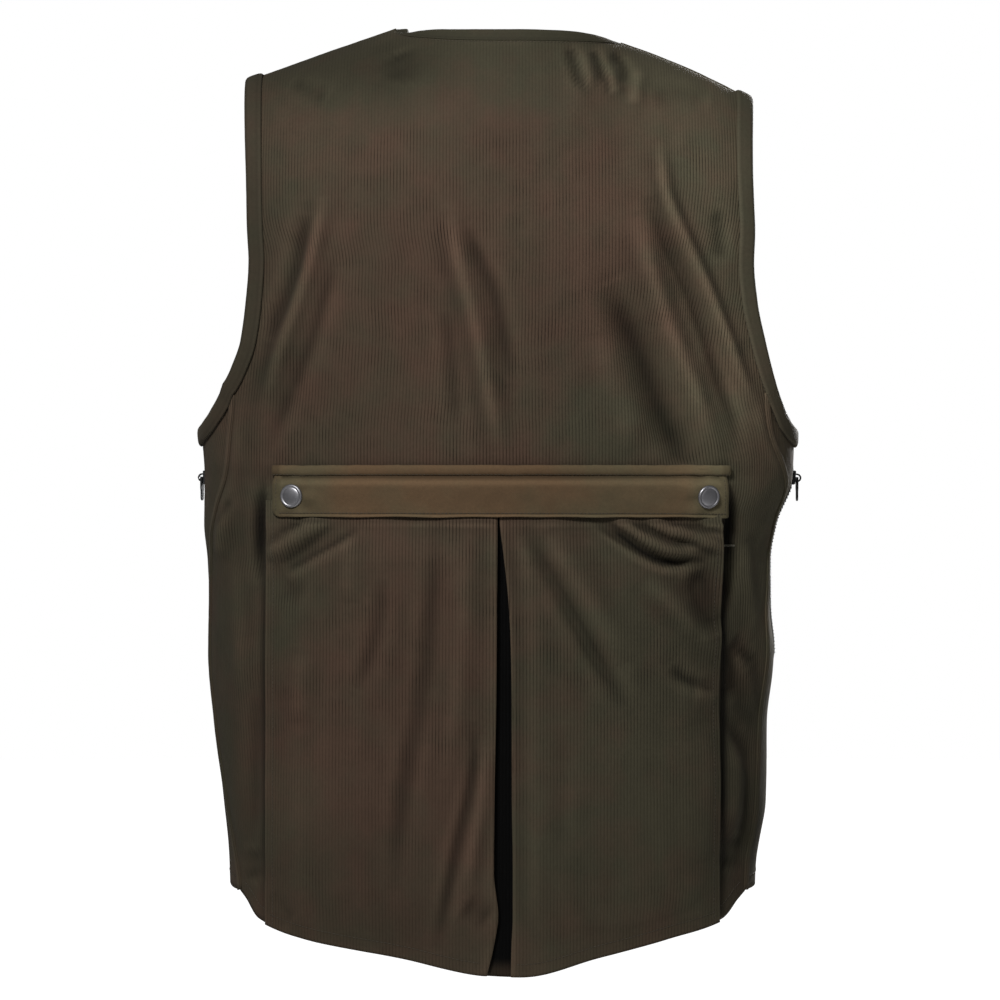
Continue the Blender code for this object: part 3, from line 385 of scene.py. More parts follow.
def row_height(hem, top_z, rise):
    """Rows lie evenly between hem and underarm, and follow the top edge near it."""
    return mix(hem, SPLIT_Z, rise) + (top_z - SPLIT_Z) * rise**3


def side_seam(side):
    """Angle and height of each row's end at the side seam, from the hem up."""
    hem = back_hem(ring_point(side * SEAM[-1].left, SEAM[-1].z).x)
    heights = [row_height(hem, SEAM_TOP, i / BODY_ROWS) for i in range(BODY_ROWS + 1)]
    return [(smooth(SEAM, "z", z, side_name(side)), z) for z in heights]


def shoulder_line(shoulder, share):
    """A place on the shoulder seam, from the neck band's edge to the armhole band's."""
    neck = Vector((shoulder.neck_x, 0.0, shoulder.neck_z))
    tip = Vector((shoulder.tip_x, 0.0, shoulder.tip_z))
    along = (tip - neck).normalized()
    crown = Vector((0.0, 0.0, shoulder.crown * math.sin(math.pi * share)))
    return (neck + along * BAND).lerp(tip - along * BAND, share) + crown


def neckline_x(z, side):
    """Half width of the front's inner edge: the zip's opening, then the V."""
    v_z = mix(SPLIT_Z, CAP_Z, V_ROW / ARM_ROWS)
    corner = shoulder_line(shoulder_of(side), 0.0)
    share = clamp((z - v_z) / (corner.z - v_z))
    return mix(FRONT_EDGE_X, abs(corner.x), share**V_CURVE)


BEND_WORTH = 0.035  # a bend of one radian counts as this many metres of ring


def even_angles(start, stop, count, fine=720):
    """Angles that part the ring evenly, and closer where it curves."""
    angles = [mix(start, stop, i / fine) for i in range(fine + 1)]
    places = [ring_point(angle, SPLIT_Z) for angle in angles]
    lengths = [0.0]
    for i in range(1, fine + 1):
        step = places[i] - places[i - 1]
        after = places[min(i + 1, fine)] - places[i]
        bend = step.angle(after) if after.length > 0 else 0.0
        lengths.append(lengths[-1] + step.length + BEND_WORTH * bend)
    parts = []
    for k in range(count + 1):
        want = lengths[-1] * k / count
        i = clamp(bisect.bisect_right(lengths, want) - 1, 0, fine - 1)
        t = (want - lengths[i]) / (lengths[i + 1] - lengths[i])
        parts.append(mix(angles[i], angles[i + 1], t))
    return parts


def cap(low, lower, top, lean, strip):
    """One column's places from the shoulder blade over the shoulder to its seam."""
    under = top - strip
    reach = (under - low).length
    start = (low - lower).normalized() * reach
    shares = [i / CAP_ROWS for i in range(1, CAP_ROWS + 1)]
    return [hermite(low, start, under, lean * reach, share) for share in shares] + [top]


print("rows", BODY_ROWS + ARM_ROWS + CAP_ROWS + 2)

# %% [markdown]
# ## Folds
# Each crease of the real vest is one row of a table: the places that it runs through, how
# wide it is and how far it stands out, or sinks in. A bell curve across it and a slow fade at
# both ends keep it soft. A fold is the plainest crease, straight from one place to another.
# The back's creases follow the photograph. The fronts can't be seen there, so they get folds
# of the same kind: from the shoulder, from under the arm and beside the zip. Cloth simulation
# could find such folds, but it wouldn't find these ones.

# %% Tables of folds
Fold = namedtuple("Fold", "x_top z_top x_low z_low width height")
Crease = namedtuple("Crease", "path width height")
UNDERARM_FOLDS = (
    Fold(-0.204, -0.300, -0.216, -0.400, 0.010, 0.0040),
    Fold(0.196, -0.400, 0.190, -0.560, 0.011, -0.0030),
    Fold(0.200, -0.300, 0.226, -0.345, 0.010, 0.0035),
    Fold(-0.196, -0.380, -0.192, -0.470, 0.011, -0.0030),
)
BACK_CREASES = (
    # left, from the armhole down to the flap
    Crease(
        ((-0.132, -0.145), (-0.140, -0.183), (-0.150, -0.215), (-0.167, -0.266), (-0.176, -0.294)),
        0.0061, 0.0050,
    ),
    Crease(((-0.145, -0.150), (-0.149, -0.175), (-0.154, -0.201), (-0.173, -0.247)), 0.0083, -0.0052),
    Crease(((-0.123, -0.183), (-0.139, -0.243), (-0.151, -0.273), (-0.173, -0.326)), 0.0076, -0.0036),
    # middle
    Crease(
        ((-0.035, -0.152), (-0.030, -0.188), (-0.019, -0.224), (-0.010, -0.270), (0.002, -0.330)),
        0.0083, 0.0054,
    ),
    Crease(((-0.025, -0.162), (-0.013, -0.188), (0.000, -0.217), (0.010, -0.277)), 0.0076, -0.0040),
    Crease(((-0.039, -0.224), (-0.034, -0.270), (-0.030, -0.315)), 0.0076, -0.0026),
    # shoulders
    Crease(((-0.076, -0.024), (-0.072, -0.036), (-0.076, -0.050)), 0.0129, -0.0036),
    Crease(((-0.158, -0.047), (-0.145, -0.055), (-0.129, -0.061)), 0.0076, -0.0020),
    Crease(((0.055, -0.021), (0.058, -0.036), (0.064, -0.056)), 0.0042, -0.0038),
    Crease(((0.074, -0.023), (0.078, -0.038), (0.083, -0.053)), 0.0045, -0.0050),
    Crease(((0.087, -0.026), (0.098, -0.035), (0.097, -0.050)), 0.0049, -0.0044),
    Crease(((0.066, -0.027), (0.072, -0.056)), 0.0042, 0.0026),
    Crease(((0.086, -0.036), (0.090, -0.061)), 0.0042, 0.0026),
    Crease(((0.109, -0.036), (0.103, -0.068)), 0.0061, 0.0024),
    Crease(((0.117, -0.062), (0.137, -0.056), (0.163, -0.061)), 0.0098, -0.0030),
    # right, from the armhole down to the flap
    Crease(
        (
            (0.123, -0.103), (0.126, -0.137), (0.139, -0.167), (0.160, -0.211),
            (0.182, -0.266), (0.193, -0.291),
        ),
        0.0049,
        0.0052,
    ),
    Crease(
        (
            (0.116, -0.145), (0.126, -0.171), (0.140, -0.195), (0.163, -0.254),
            (0.179, -0.304), (0.184, -0.326),
        ),
        0.0068,
        -0.0058,
    ),
    Crease(
        ((0.104, -0.152), (0.114, -0.194), (0.126, -0.230), (0.148, -0.286), (0.166, -0.332)),
        0.0098, 0.0070,
    ),
    Crease(
        ((0.083, -0.205), (0.099, -0.238), (0.111, -0.264), (0.129, -0.315), (0.152, -0.350)),
        0.0129, -0.0105,
    ),
    Crease(((0.076, -0.243), (0.084, -0.277), (0.095, -0.307), (0.104, -0.330)), 0.0136, 0.0040),
    Crease(((0.167, -0.145), (0.170, -0.188)), 0.0068, -0.0022),
    # right of the pocket
    Crease(((0.176, -0.364), (0.176, -0.413), (0.175, -0.447)), 0.0053, -0.0055),
    Crease(((0.177, -0.474), (0.182, -0.498), (0.179, -0.521)), 0.0083, -0.0045),
    Crease(
        ((0.170, -0.523), (0.178, -0.542), (0.192, -0.557), (0.193, -0.595), (0.188, -0.656)),
        0.0068, -0.0036,
    ),
    Crease(((0.190, -0.398), (0.193, -0.436), (0.197, -0.474)), 0.0076, 0.0038),
    Crease(((0.180, -0.472), (0.190, -0.483), (0.199, -0.494)), 0.0061, -0.0026),
    Crease(((0.186, -0.485), (0.194, -0.506), (0.197, -0.536)), 0.0061, 0.0026),
    Crease(((0.181, -0.553), (0.185, -0.588), (0.178, -0.619)), 0.0091, 0.0030),
    Crease(((0.182, -0.622), (0.176, -0.650)), 0.0091, -0.0026),
    # left of the pocket
    Crease(((-0.178, -0.357), (-0.181, -0.391), (-0.182, -0.430)), 0.0061, -0.0055),
    Crease(((-0.185, -0.512), (-0.187, -0.580), (-0.187, -0.633)), 0.0076, -0.0034),
    Crease(((-0.200, -0.413), (-0.198, -0.474), (-0.195, -0.519)), 0.0076, 0.0026),
    Crease(((-0.204, -0.364), (-0.213, -0.388)), 0.0045, -0.0026),
    Crease(((-0.208, -0.374), (-0.213, -0.413)), 0.0045, 0.0022),
    Crease(((-0.187, -0.633), (-0.185, -0.659)), 0.0076, -0.0024),
)
FRONT_FOLDS = (
    Fold(0.096, -0.150, 0.060, -0.330, 0.0200, 0.0030),
    Fold(0.150, -0.200, 0.110, -0.340, 0.0160, -0.0028),
    Fold(0.172, -0.290, 0.120, -0.400, 0.0140, 0.0030),
    Fold(0.060, -0.380, 0.080, -0.600, 0.0200, -0.0022),
    Fold(0.120, -0.440, 0.136, -0.640, 0.0180, 0.0024),
    Fold(0.080, -0.050, 0.110, -0.110, 0.0090, -0.0022),
    Fold(0.128, -0.060, 0.140, -0.130, 0.0100, 0.0020),
    Fold(0.036, -0.560, 0.050, -0.660, 0.0120, 0.0016),
    Fold(0.150, -0.330, 0.176, -0.350, 0.0080, -0.0020),
)


FELT = 3  # a crease is felt as far off as this many of its widths
FOLD_END = 0.25  # a fold fades out this share of its length before and past its end
CREASE_END = 0.25  # at its very end a crease is still as far along its fade as this
CREASE_FADE = 0.35  # share of its length over which a crease fades
# how sharply a crease bends sets its painted shade in a trough, and how pale its ridge is
CREASE_BEND = 14.0  # a crease that bends this sharply is as pale, or dark, as can be
CREASE_REACH = 0.006
# a crease that sinks further than the next number also gets painted shade in its trough
DEEP = -0.0068  # a crease that sinks further than this closes on itself


def fold_height(folds, x, z):
    height = 0.0
    for fold in folds:
        dx, dz = fold.x_low - fold.x_top, fold.z_low - fold.z_top
        t = ((x - fold.x_top) * dx + (z - fold.z_top) * dz) / (dx * dx + dz * dz)
        if -FOLD_END < t < 1 + FOLD_END:
            near = clamp(t)
            gap = math.hypot(x - fold.x_top - dx * near, z - fold.z_top - dz * near)
            if gap < FELT * fold.width:
                fade = ease((t + FOLD_END) / FOLD_END / 2) * ease((1 + FOLD_END - t) / FOLD_END / 2)
                height += fold.height * fade * math.exp(-((gap / fold.width) ** 2))
    return height


@functools.lru_cache(maxsize=None)
def rounded(path):
    """A path with its corners cut twice, and the box that it lies in."""
    for _ in range(2):
        cut = [path[0]]
        for (ax, az), (bx, bz) in zip(path, path[1:]):
            cut += [(mix(ax, bx, share), mix(az, bz, share)) for share in (0.25, 0.75)]
        path = (*cut, path[-1])
    xs, zs = zip(*path)
    return path, min(xs), max(xs), min(zs), max(zs)


def crease_height(creases, x, z):
    """The same for creases that bend, each a path of two or more places."""
    height = 0.0
    for crease in creases:
        reach = FELT * crease.width
        path, x_low, x_high, z_low, z_high = rounded(crease.path)
        if not (x_low - reach < x < x_high + reach and z_low - reach < z < z_high + reach):
            continue
        best, where, walked = reach, 0.0, 0.0
        for (ax, az), (bx, bz) in zip(path, path[1:]):
            dx, dz = bx - ax, bz - az
            length = math.hypot(dx, dz)
            t = clamp(((x - ax) * dx + (z - az) * dz) / length**2)
            gap = math.hypot(x - ax - dx * t, z - az - dz * t)
            if gap < best:
                best, where = gap, walked + t * length
            walked += length
        if best < reach:
            share = where / walked
            fade = ease(share / CREASE_FADE + CREASE_END) * ease((1 - share) / CREASE_FADE + CREASE_END)
            height += crease.height * fade * math.exp(-((best / crease.width) ** 2))
    return height


def deep_shade(creases, x, z, strength, sharp):
    """Painted shade: how dark it is in a deep fold. It closes on itself, and little light gets down there.
    """
    deep = [crease for crease in creases if crease.height < DEEP]
    shares = [crease_height((crease,), x, z) / crease.height for crease in deep]
    return strength * max(shares) ** sharp


def ripple(place, size, seed):
    """Slow uneven swell, longer from top to bottom, and the same on every run."""
    return noise.noise(Vector((place.x / size + seed, place.y / size, place.z / size / 1.6)))


print("creases", len(BACK_CREASES), "and folds", len(UNDERARM_FOLDS) + len(FRONT_FOLDS))


# %% [markdown]
# ## The back panel
# The back is one piece from hem to shoulders. Its rows run from side to side, its columns
# from the hem up the back and over the shoulder, so the ribs of the cloth can follow them.
# The cloth lies flat under the pocket's flap, and is free to fold elsewhere.

# %% Back panel's places
SNAP_Z = -0.3648
FLAP_RIGHT = 0.1730
FLAP_HALF = 0.0145  # the back lies flat this far above and below the snaps
LAST_ROW = 0.003  # cloth between a panel's last two rows, at the shoulder
SETTLE_REACH = 17  # columns to each side of a neck corner that are evened out
SETTLE_ROWS = 10  # rows below the cap that are evened out with it
SETTLE_PASSES = 40


def beside(angle, z, distance):
    """A place at a distance past an angle, further round towards the front."""
    step = math.copysign(NEAR_ANGLE, angle)
    forward = (ring_point(angle + step, z) - ring_point(angle - step, z)).normalized()
    return ring_point(angle, z) + forward * distance


def back_top(k, side):
    """A column's top: its place, how it leans there, and the strip to the row below it."""
    corner = shoulder_line(shoulder_of(side), 0.0)
    strip = Vector((0.0, LAST_ROW, 0.0))
    if k >= NECK_COLUMNS:
        seam = shoulder_line(shoulder_of(side), (k - NECK_COLUMNS) / SHOULDER_COLUMNS)
        seam.y -= SEAM_GAP / 2
        return seam, Vector((0.0, 1.0, 0.0)), strip
    turn = math.radians(90 * k / NECK_COLUMNS)
    level = (LEFT_SHOULDER.neck_z + RIGHT_SHOULDER.neck_z) / 2 - BACK_NECK_DROP
    x = mix(NECK_CENTRE_X, corner.x, math.sin(turn))
    z = mix(corner.z, level, math.cos(turn) ** 0.85)
    place = Vector((x, BACK_NECK_Y * math.cos(turn) - SEAM_GAP / 2, z))
    steep = math.cos(turn) ** 2
    lean = Vector((0.0, mix(1.0, 0.45, steep), steep)).normalized()
    inward = Vector((-side * math.sin(turn), math.cos(turn), mix(0.38, 2.2, steep))).normalized()
    return place, lean, inward * LAST_ROW * mix(0.25, 1.0, steep)


def fold_back(place, fade):
    from_flap = abs(place.z - SNAP_Z) / FLAP_HALF
    beyond = (abs(place.x) - FLAP_RIGHT) / 0.004
    free = max(ease(from_flap - 1), ease(beyond)) * fade
    height = fold_height(UNDERARM_FOLDS, place.x, place.z)
    height += crease_height(BACK_CREASES, place.x, place.z)
    height += 0.0010 * ripple(place, 0.055, 3.0) + 0.0005 * ripple(place, 0.018, 8.0)
    z = min(place.z, CAP_Z)
    x = math.copysign(min(abs(place.x), half_width(z, place.x) * 0.985), place.x)
    return place + back_normal(x, z) * height * free


def settle(columns, corners, first, passes):
    """Evens out the cloth around the columns that end at the neck's corners."""
    last = len(columns[0]) - 1
    for _ in range(passes):
        before = [list(column) for column in columns]
        for corner in corners:
            for j in range(corner - SETTLE_REACH + 1, corner + SETTLE_REACH):
                near = ease((SETTLE_REACH - abs(j - corner)) / 9)
                for i in range(first, last):
                    share = 0.5 * near * ease((i - first) / 8) * ease((last - i) / 7)
                    middle = (before[j - 1][i] + before[j + 1][i]) / 2
                    columns[j][i] = before[j][i].lerp(middle, share)
    return columns


def back_grid():
    half = NECK_COLUMNS + SHOULDER_COLUMNS
    shares = [angle / 90 for angle in even_angles(0.0, 90.0, half)]
    columns = []
    for k in range(-half, half + 1):
        side = 1 if k > 0 else -1
        share = shares[abs(k)]
        seam = side_seam(side)
        column = []
        for i, (angle, seam_z) in enumerate(seam):
            hem = back_hem(ring_point(side * share * angle, seam[0][1]).x)
            top_z = mix(SPLIT_Z, SEAM_TOP, share**3)
            z = seam_z if share == 1 else row_height(hem, top_z, i / BODY_ROWS)
            column.append(ring_point(side * share * angle, z))
        for i in range(1, ARM_ROWS + 1):
            z = mix(top_z, CAP_Z, i / ARM_ROWS)
            edge_z = mix(SEAM_TOP, CAP_Z, i / ARM_ROWS)
            column.append(ring_point(side * share * armhole_angle(edge_z, side, True), z))
        top, lean, last = back_top(abs(k), side)
        column += cap(column[-1], column[-2], top, lean, last)
        columns.append(column)
    corners = (half - NECK_COLUMNS, half + NECK_COLUMNS)
    settle(columns, corners, BODY_ROWS + ARM_ROWS - SETTLE_ROWS, SETTLE_PASSES)
    for j, column in enumerate(columns):
        fade = ease((half - abs(j - half)) / half / 0.10)
        columns[j] = [fold_back(place, fade) for place in column]
    return [list(row) for row in zip(*columns)]


BACK = back_grid()
print("back", len(BACK), "rows of", len(BACK[0]))

# %% [markdown]
# ## The front panels
# A front runs from the zip round to the side seam, and above the underarm from the V of the
# neck to the armhole. Its folds die out beside both zips, where tape stiffens the cloth.

# %% Fronts' places
SIDE_ZIP_ANGLE = (99.0, 94.0)  # on the left and on the right
SIDE_ZIP_TOP = -0.3410
SIDE_ZIP_LOW = -0.4910


def fold_front(place, angle, side):
    """A front's crease, faded out beside the zips, the seams and the armhole."""
    from_zip = ease((abs(place.x) - 0.026) / 0.02) if place.y > 0 else 1.0
    apart = (place - ring_point(side * pick(SIDE_ZIP_ANGLE, side), place.z)).length
    level = max(SIDE_ZIP_LOW - place.z, place.z - SIDE_ZIP_TOP, 0.0)
    from_side_zip = ease((math.hypot(apart, level) - 0.014) / 0.016)
    height = 0.0009 * ripple(place, 0.05, 13.0) + 0.0004 * ripple(place, 0.018, 21.0)
    if place.y > 0:
        # the same folds on both fronts, but lower and further out on the right one
        height += fold_height(FRONT_FOLDS, abs(place.x) - 0.01 * side, place.z + 0.012 * side)
    out = ring_normal(side * angle, min(place.z, CAP_Z))
    return place + out * height * from_zip * from_side_zip


def front_grid(side):
    parts = even_angles(180.0, CORNER_ANGLE, FRONT_COLUMNS)
    shares = [(180.0 - angle) / (180.0 - CORNER_ANGLE) for angle in parts]
    corner_z = pick(CORNER_Z, side)
    seam = side_seam(side)
    rows = []
    for i, (seam_angle, seam_z) in enumerate(seam):
        rise = i / BODY_ROWS
        row = []
        for share in shares:
            hem = mix(FRONT_HEM_MID, FRONT_HEM_SIDE, ease(share))
            z = row_height(hem, mix(SPLIT_Z, corner_z, share**3), rise)
            inner = abs(angle_of(side * FRONT_EDGE_X, z, False))
            angle = mix(inner, CORNER_ANGLE, share)
            row.append(fold_front(ring_point(side * angle, z), angle, side))
        for k in range(1, WRAP_COLUMNS):
            share = k / WRAP_COLUMNS
            edge = mix(CORNER_ANGLE, seam[-1][0], share)
            top_z = smooth(UNDERARM, "angle", edge, side_name(side))
            z = row_height(mix(FRONT_HEM_SIDE, seam[0][1], ease(share)), top_z, rise)
            angle = mix(CORNER_ANGLE, seam_angle, share)
            fade = ease((1 - share) / 0.15)
            place = ring_point(side * angle, z)
            row.append(place.lerp(fold_front(place, angle, side), fade))
        row.append(beside(side * seam_angle, seam_z, SEAM_GAP))
        rows.append(row)
    columns = []
    for k, share in enumerate(shares):
        column = []
        for i in range(1, ARM_ROWS + 1):
            edge_z = mix(corner_z, CAP_Z, i / ARM_ROWS)
            z = mix(mix(SPLIT_Z, CAP_Z, i / ARM_ROWS), edge_z, share**3)
            inner = abs(angle_of(side * neckline_x(z, side), z, False))
            angle = mix(inner, armhole_angle(edge_z, side, False), share)
            place = ring_point(side * angle, z)
            fade = ease((1 - share) / 0.12)
            column.append(place.lerp(fold_front(place, angle, side), fade))
        top = shoulder_line(shoulder_of(side), k / FRONT_COLUMNS)
        top.y += SEAM_GAP / 2
        lean = Vector((0.0, -1.0, 0.0))
        column += cap(column[-1], column[-2], top, lean, lean * LAST_ROW)
        columns.append(column)
    return rows + [list(row) for row in zip(*columns)]


FRONTS = {side: front_grid(side) for side in (-1, 1)}
print("front", len(FRONTS[1]), "rows of", len(FRONTS[1][0]), "and", len(FRONTS[1][-1]))

# %% [markdown]
# ## From places to cloth
# A grid of places becomes a thin shell: a quad between each four neighbours, and Solidify for
# the second face. The shell carries a map of the flat cloth in metres, across and along its
# ribs, so a material can draw a rib of 2.5 mm anywhere. Ribs run straight up the flat cloth
# and run off at its curved edges, as they do on cut cloth, and over the shoulder the map
# follows how far each place has moved sideways. Six more numbers ride along at each place:
# how near a cut edge is, where cloth rubs pale, how olive and how pale the cloth is (dye, and
# painted shade in a few patches), how strong the cords are, how much painted shade darkens a
# gap or a deep fold, and whether the place is on a ridge or in a trough, which the material
# turns into painted shade in troughs and paler ridges.

# %% Map of the flat cloth
STEEPEST = 2.0  # the most that a rib may be stretched sideways over the shoulder


def grain(grid, zero, start, cap_row):
    """Each place's flat spot: metres across the ribs and along them."""
    across = []
    for i, row in enumerate(grid):
        if i <= cap_row:
            steps = [0.0]
            for a, b in zip(row, row[1:]):
                steps.append(steps[-1] + math.hypot(b.x - a.x, b.y - a.y))
            across.append([s + start(row) - steps[zero] for s in steps])
            continue
        below, base = grid[cap_row], across[cap_row]
        line = []
        for j, place in enumerate(row):
            k = min(j, len(row) - 2)
            slope = (base[k + 1] - base[k]) / (below[k + 1].x - below[k].x)
            slope = math.copysign(min(abs(slope), STEEPEST), slope)
            line.append(base[j] + (place.x - below[j].x) * slope)
        across.append(line)
    along = [[0.0] * len(grid[0])]
    for lower, upper in zip(grid, grid[1:]):
        line = [along[-1][j] + (place - lower[j]).length for j, place in enumerate(upper)]
        along.append(line)
    return [list(zip(u, v)) for u, v in zip(across, along)]


# %% Dye and painted shade
Patch = namedtuple("Patch", "x z width height olive pale")
PATCHES = (
    # yoke
    Patch(-0.130, -0.030, 0.100, 0.036, 0.55, -0.34),
    Patch(-0.070, -0.038, 0.026, 0.020, 0.20, -0.14),
    Patch(0.020, -0.020, 0.120, 0.034, 0.45, -0.08),
    Patch(0.130, -0.040, 0.060, 0.036, 0.40, 0.22),
    # below it
    Patch(0.165, -0.130, 0.052, 0.078, 0.35, 0.70),
    Patch(-0.040, -0.190, 0.120, 0.110, -0.35, 0.00),
    Patch(0.080, -0.170, 0.055, 0.060, -0.35, 0.10),
    Patch(0.090, -0.310, 0.050, 0.035, 0.50, 0.05),
    Patch(0.178, -0.275, 0.052, 0.080, 0.05, 0.80),
    Patch(-0.180, -0.220, 0.035, 0.120, 0.15, -0.18),
    # flap
    Patch(-0.030, -0.360, 0.130, 0.019, -0.60, -0.10),
    Patch(-0.165, -0.365, 0.016, 0.014, 0.60, 0.05),
    Patch(0.105, -0.365, 0.040, 0.014, -0.20, 0.10),
    Patch(0.165, -0.365, 0.022, 0.014, 0.80, 0.36),
    Patch(0.000, -0.3456, 0.250, 0.006, 0.00, -0.22),
    # pocket
    Patch(0.110, -0.520, 0.100, 0.140, 0.55, -0.02),
    Patch(-0.080, -0.560, 0.080, 0.150, -0.60, -0.08),
    Patch(-0.150, -0.440, 0.030, 0.060, 0.50, -0.16),
    # the next three are darker towards the hem
    Patch(-0.120, -0.640, 0.060, 0.040, 0.35, -0.16),
    Patch(0.055, -0.650, 0.080, 0.050, 0.30, -0.14),
    Patch(-0.070, -0.690, 0.100, 0.030, 0.00, -0.16),
    # painted shade, where the pocket's face turns from the lamp beside its right edge
    Patch(0.158, -0.446, 0.016, 0.032, -0.25, -0.48),
    # sides: darker on the left, paler at mid height on the right
    Patch(-0.215, -0.470, 0.030, 0.130, 0.40, -0.28),
    Patch(-0.205, -0.620, 0.030, 0.060, 0.30, -0.22),
    Patch(0.205, -0.430, 0.032, 0.110, 0.45, 0.34),
    # the next two are painted shade in the deep folds low on the right side, beside the pocket
    Patch(0.200, -0.610, 0.030, 0.060, 0.35, -0.34),
    Patch(0.190, -0.505, 0.018, 0.045, -0.10, -0.42),
)


def dye(place):
    """Two numbers: from 0, brown, to 1, olive, and how much paler than the rest (dye, and painted shade in
    a few patches).
    """
    tone = 0.5 + 0.35 * noise.noise(place / 0.055 + Vector((5.0, 0.0, 0.0)))
    pale = 0.10 * noise.noise(place / 0.080 + Vector((0.0, 7.0, 0.0)))
    if place.y < 0.02:
        for patch in PATCHES:
            apart = ((place.x - patch.x) / patch.width) ** 2
            apart += ((place.z - patch.z) / patch.height) ** 2
            tone += patch.olive * math.exp(-apart)
            pale += patch.pale * math.exp(-apart)
    return clamp(tone), clamp(pale, -0.6, 1.0)


def cord_strength(place):
    """Cords are flattest over the shoulder blades and low down, where the cloth rubs."""
    yoke = 1 - 0.65 * ease((place.z + 0.110) / 0.040)
    low = 1 - 0.45 * ease((-0.50 - place.z) / 0.12)
    return yoke * low


# %% Painted shade in the gaps
Shade = namedtuple("Shade", "x z width height dark")
SHADES = (
    Shade(-0.1800, -0.3900, 0.0065, 0.0240, 0.85),
    Shade(-0.1765, -0.5300, 0.0032, 0.1500, 0.70),
    Shade(0.1755, -0.3870, 0.0080, 0.0280, 0.97),
    Shade(0.1720, -0.5200, 0.0034, 0.1600, 0.90),
)


def gap_shade(place):
    """Painted shadow: how dark the back is in the gap beside the hanging pocket."""
    if place.y > 0 or place.z > -0.345:
        return 0.0
    shade = 0.0
    for spot in SHADES:
        apart = ((place.x - spot.x) / spot.width) ** 2 + ((place.z - spot.z) / spot.height) ** 4
        shade = max(shade, spot.dark * math.exp(-apart))
    return shade


# %% Cloth maker
CLOTH = []


def outward(normal, place):
    middle = Vector((0.0, 0.0, min(place.z, -0.16)))
    return normal if normal.dot(place - middle) > 0 else -normal


def panel_faces(grid, ring=False):
    starts = [0]
    for row in grid:
        starts.append(starts[-1] + len(row))
    faces = []
    for i in range(len(grid) if ring else len(grid) - 1):
        after = (i + 1) % len(grid)
        for j in range(min(len(grid[i]), len(grid[after])) - 1):
            a, b = starts[i] + j, starts[after] + j
            faces.append((a, a + 1, b + 1, b))
    return faces


def edge_nearness(grid, ring, reach):
    """1 on a cut edge, falling to 0 at a distance from it."""
    near = []
    for i, row in enumerate(grid):
        for j, place in enumerate(row):
            gaps = [(place - row[0]).length, (place - row[-1]).length]
            if not ring:
                gaps.append((place - grid[0][min(j, len(grid[0]) - 1)]).length)
                if j < len(grid[-1]):
                    gaps.append((place - grid[-1][j]).length)
            near.append(1.0 - ease(min(gaps) / reach))
    return near


# The material turns this number into painted shade in troughs, and paler ridges.
def crease_sign(grid, ring):
    """From -1 in a trough to 1 on a ridge: how far a place stands off its neighbours' middle."""
    signs = []
    middle = grid[len(grid) // 2]
    gap = (middle[len(middle) // 3] - middle[len(middle) // 3 + 1]).length
    step = clamp(round(CREASE_REACH / gap), 1, 3)
    for i, row in enumerate(grid):
        below, above = grid[i - 1 if i or ring else 0], grid[(i + 1) % len(grid)]
        for j, place in enumerate(row):
            last = min(len(row), len(below), len(above)) - step
            inside = step <= j < last and (ring or 0 < i < len(grid) - 1)
            if not inside:
                signs.append(0.0)
                continue
            across, along = row[j + 1] - row[j - 1], above[j] - below[j]
            normal = outward(across.cross(along).normalized(), place)
            bend = 0.0
            for one, other in ((row[j - step], row[j + step]), (below[j], above[j])):
                span = max((one - other).length_squared, 0.000001)
                bend += (place - (one + other) / 2).dot(normal) / span
            signs.append(clamp(bend / CREASE_BEND, -1.0, 1.0))
    return signs


def linked(name, mesh):
    """An object for a mesh, in the scene."""
    thing = bpy.data.objects.new(name, mesh)
    bpy.context.scene.collection.objects.link(thing)
    return thing


INWARD = -1.0  # a wall's thickness goes in from the places, and at 0 to both sides
MIDWAY = 0.0


def cloth(name, grid, flat, wall, offset, finish, nodes, ring=False, dark=None, reach=0.006):
    """A piece of cloth from its places and its flat map. It stands for the named nodes."""
    places = [place for row in grid for place in row]
    mesh = bpy.data.meshes.new(name)
    mesh.from_pydata([tuple(place) for place in places], [], panel_faces(grid, ring))
    spots = [spot for row in flat for spot in row]
    layer = mesh.uv_layers.new(name="cloth")
    for loop in mesh.loops:
        layer.data[loop.index].uv = spots[loop.vertex_index]
    tones_and_shades = [dye(place) for place in places]
    numbers = {
        "edge": edge_nearness(grid, ring, reach),
        "olive": [one[0] for one in tones_and_shades],
        "pale": [one[1] for one in tones_and_shades],
        "cords": [cord_strength(place) for place in places],
        "dark": [value for row in dark for value in row] if dark else [0.0] * len(places),
        "crease": crease_sign(grid, ring),
    }
    for key, values in numbers.items():
        mesh.attributes.new(key, "FLOAT", "POINT").data.foreach_set("value", values)
    middle = mesh.polygons[len(mesh.polygons) // 2]
    if outward(middle.normal.copy(), middle.center).dot(middle.normal) < 0:
        mesh.flip_normals()
    mesh.shade_smooth()
    mesh.materials.append(finish.material)
    piece = linked(name, mesh)
    solid = piece.modifiers.new("thickness", "SOLIDIFY")
    solid.thickness = wall
    solid.offset = offset
    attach(piece, "vest")
    if nodes:
        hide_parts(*nodes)
    CLOTH.append((piece, sum(p.area for p in mesh.polygons)))
    print(name, len(mesh.polygons), "faces")
    return piece


# %% [markdown]
# ## Finishes
# The body is cut from a fine corded cloth, brown and olive by turns. A cord is a round ridge,
# so its height is a half circle across the cloth, with a dark line painted where two cords
# meet: painted shade in the groove. Real cords are never quite even, so a slow noise bends
# them and a second one makes some lines stronger. This pattern is in a group of shader nodes,
# because body, pocket and fronts share it. Plain canvas for the flap and binding has a group
# of its own: two sets of threads that pass over and under. Both groups give out only heights
# and shades, and each material keeps its own shader, where one number says how much nap
# catches the light. A finish is a material together with the name of the slot that it
# belongs to.

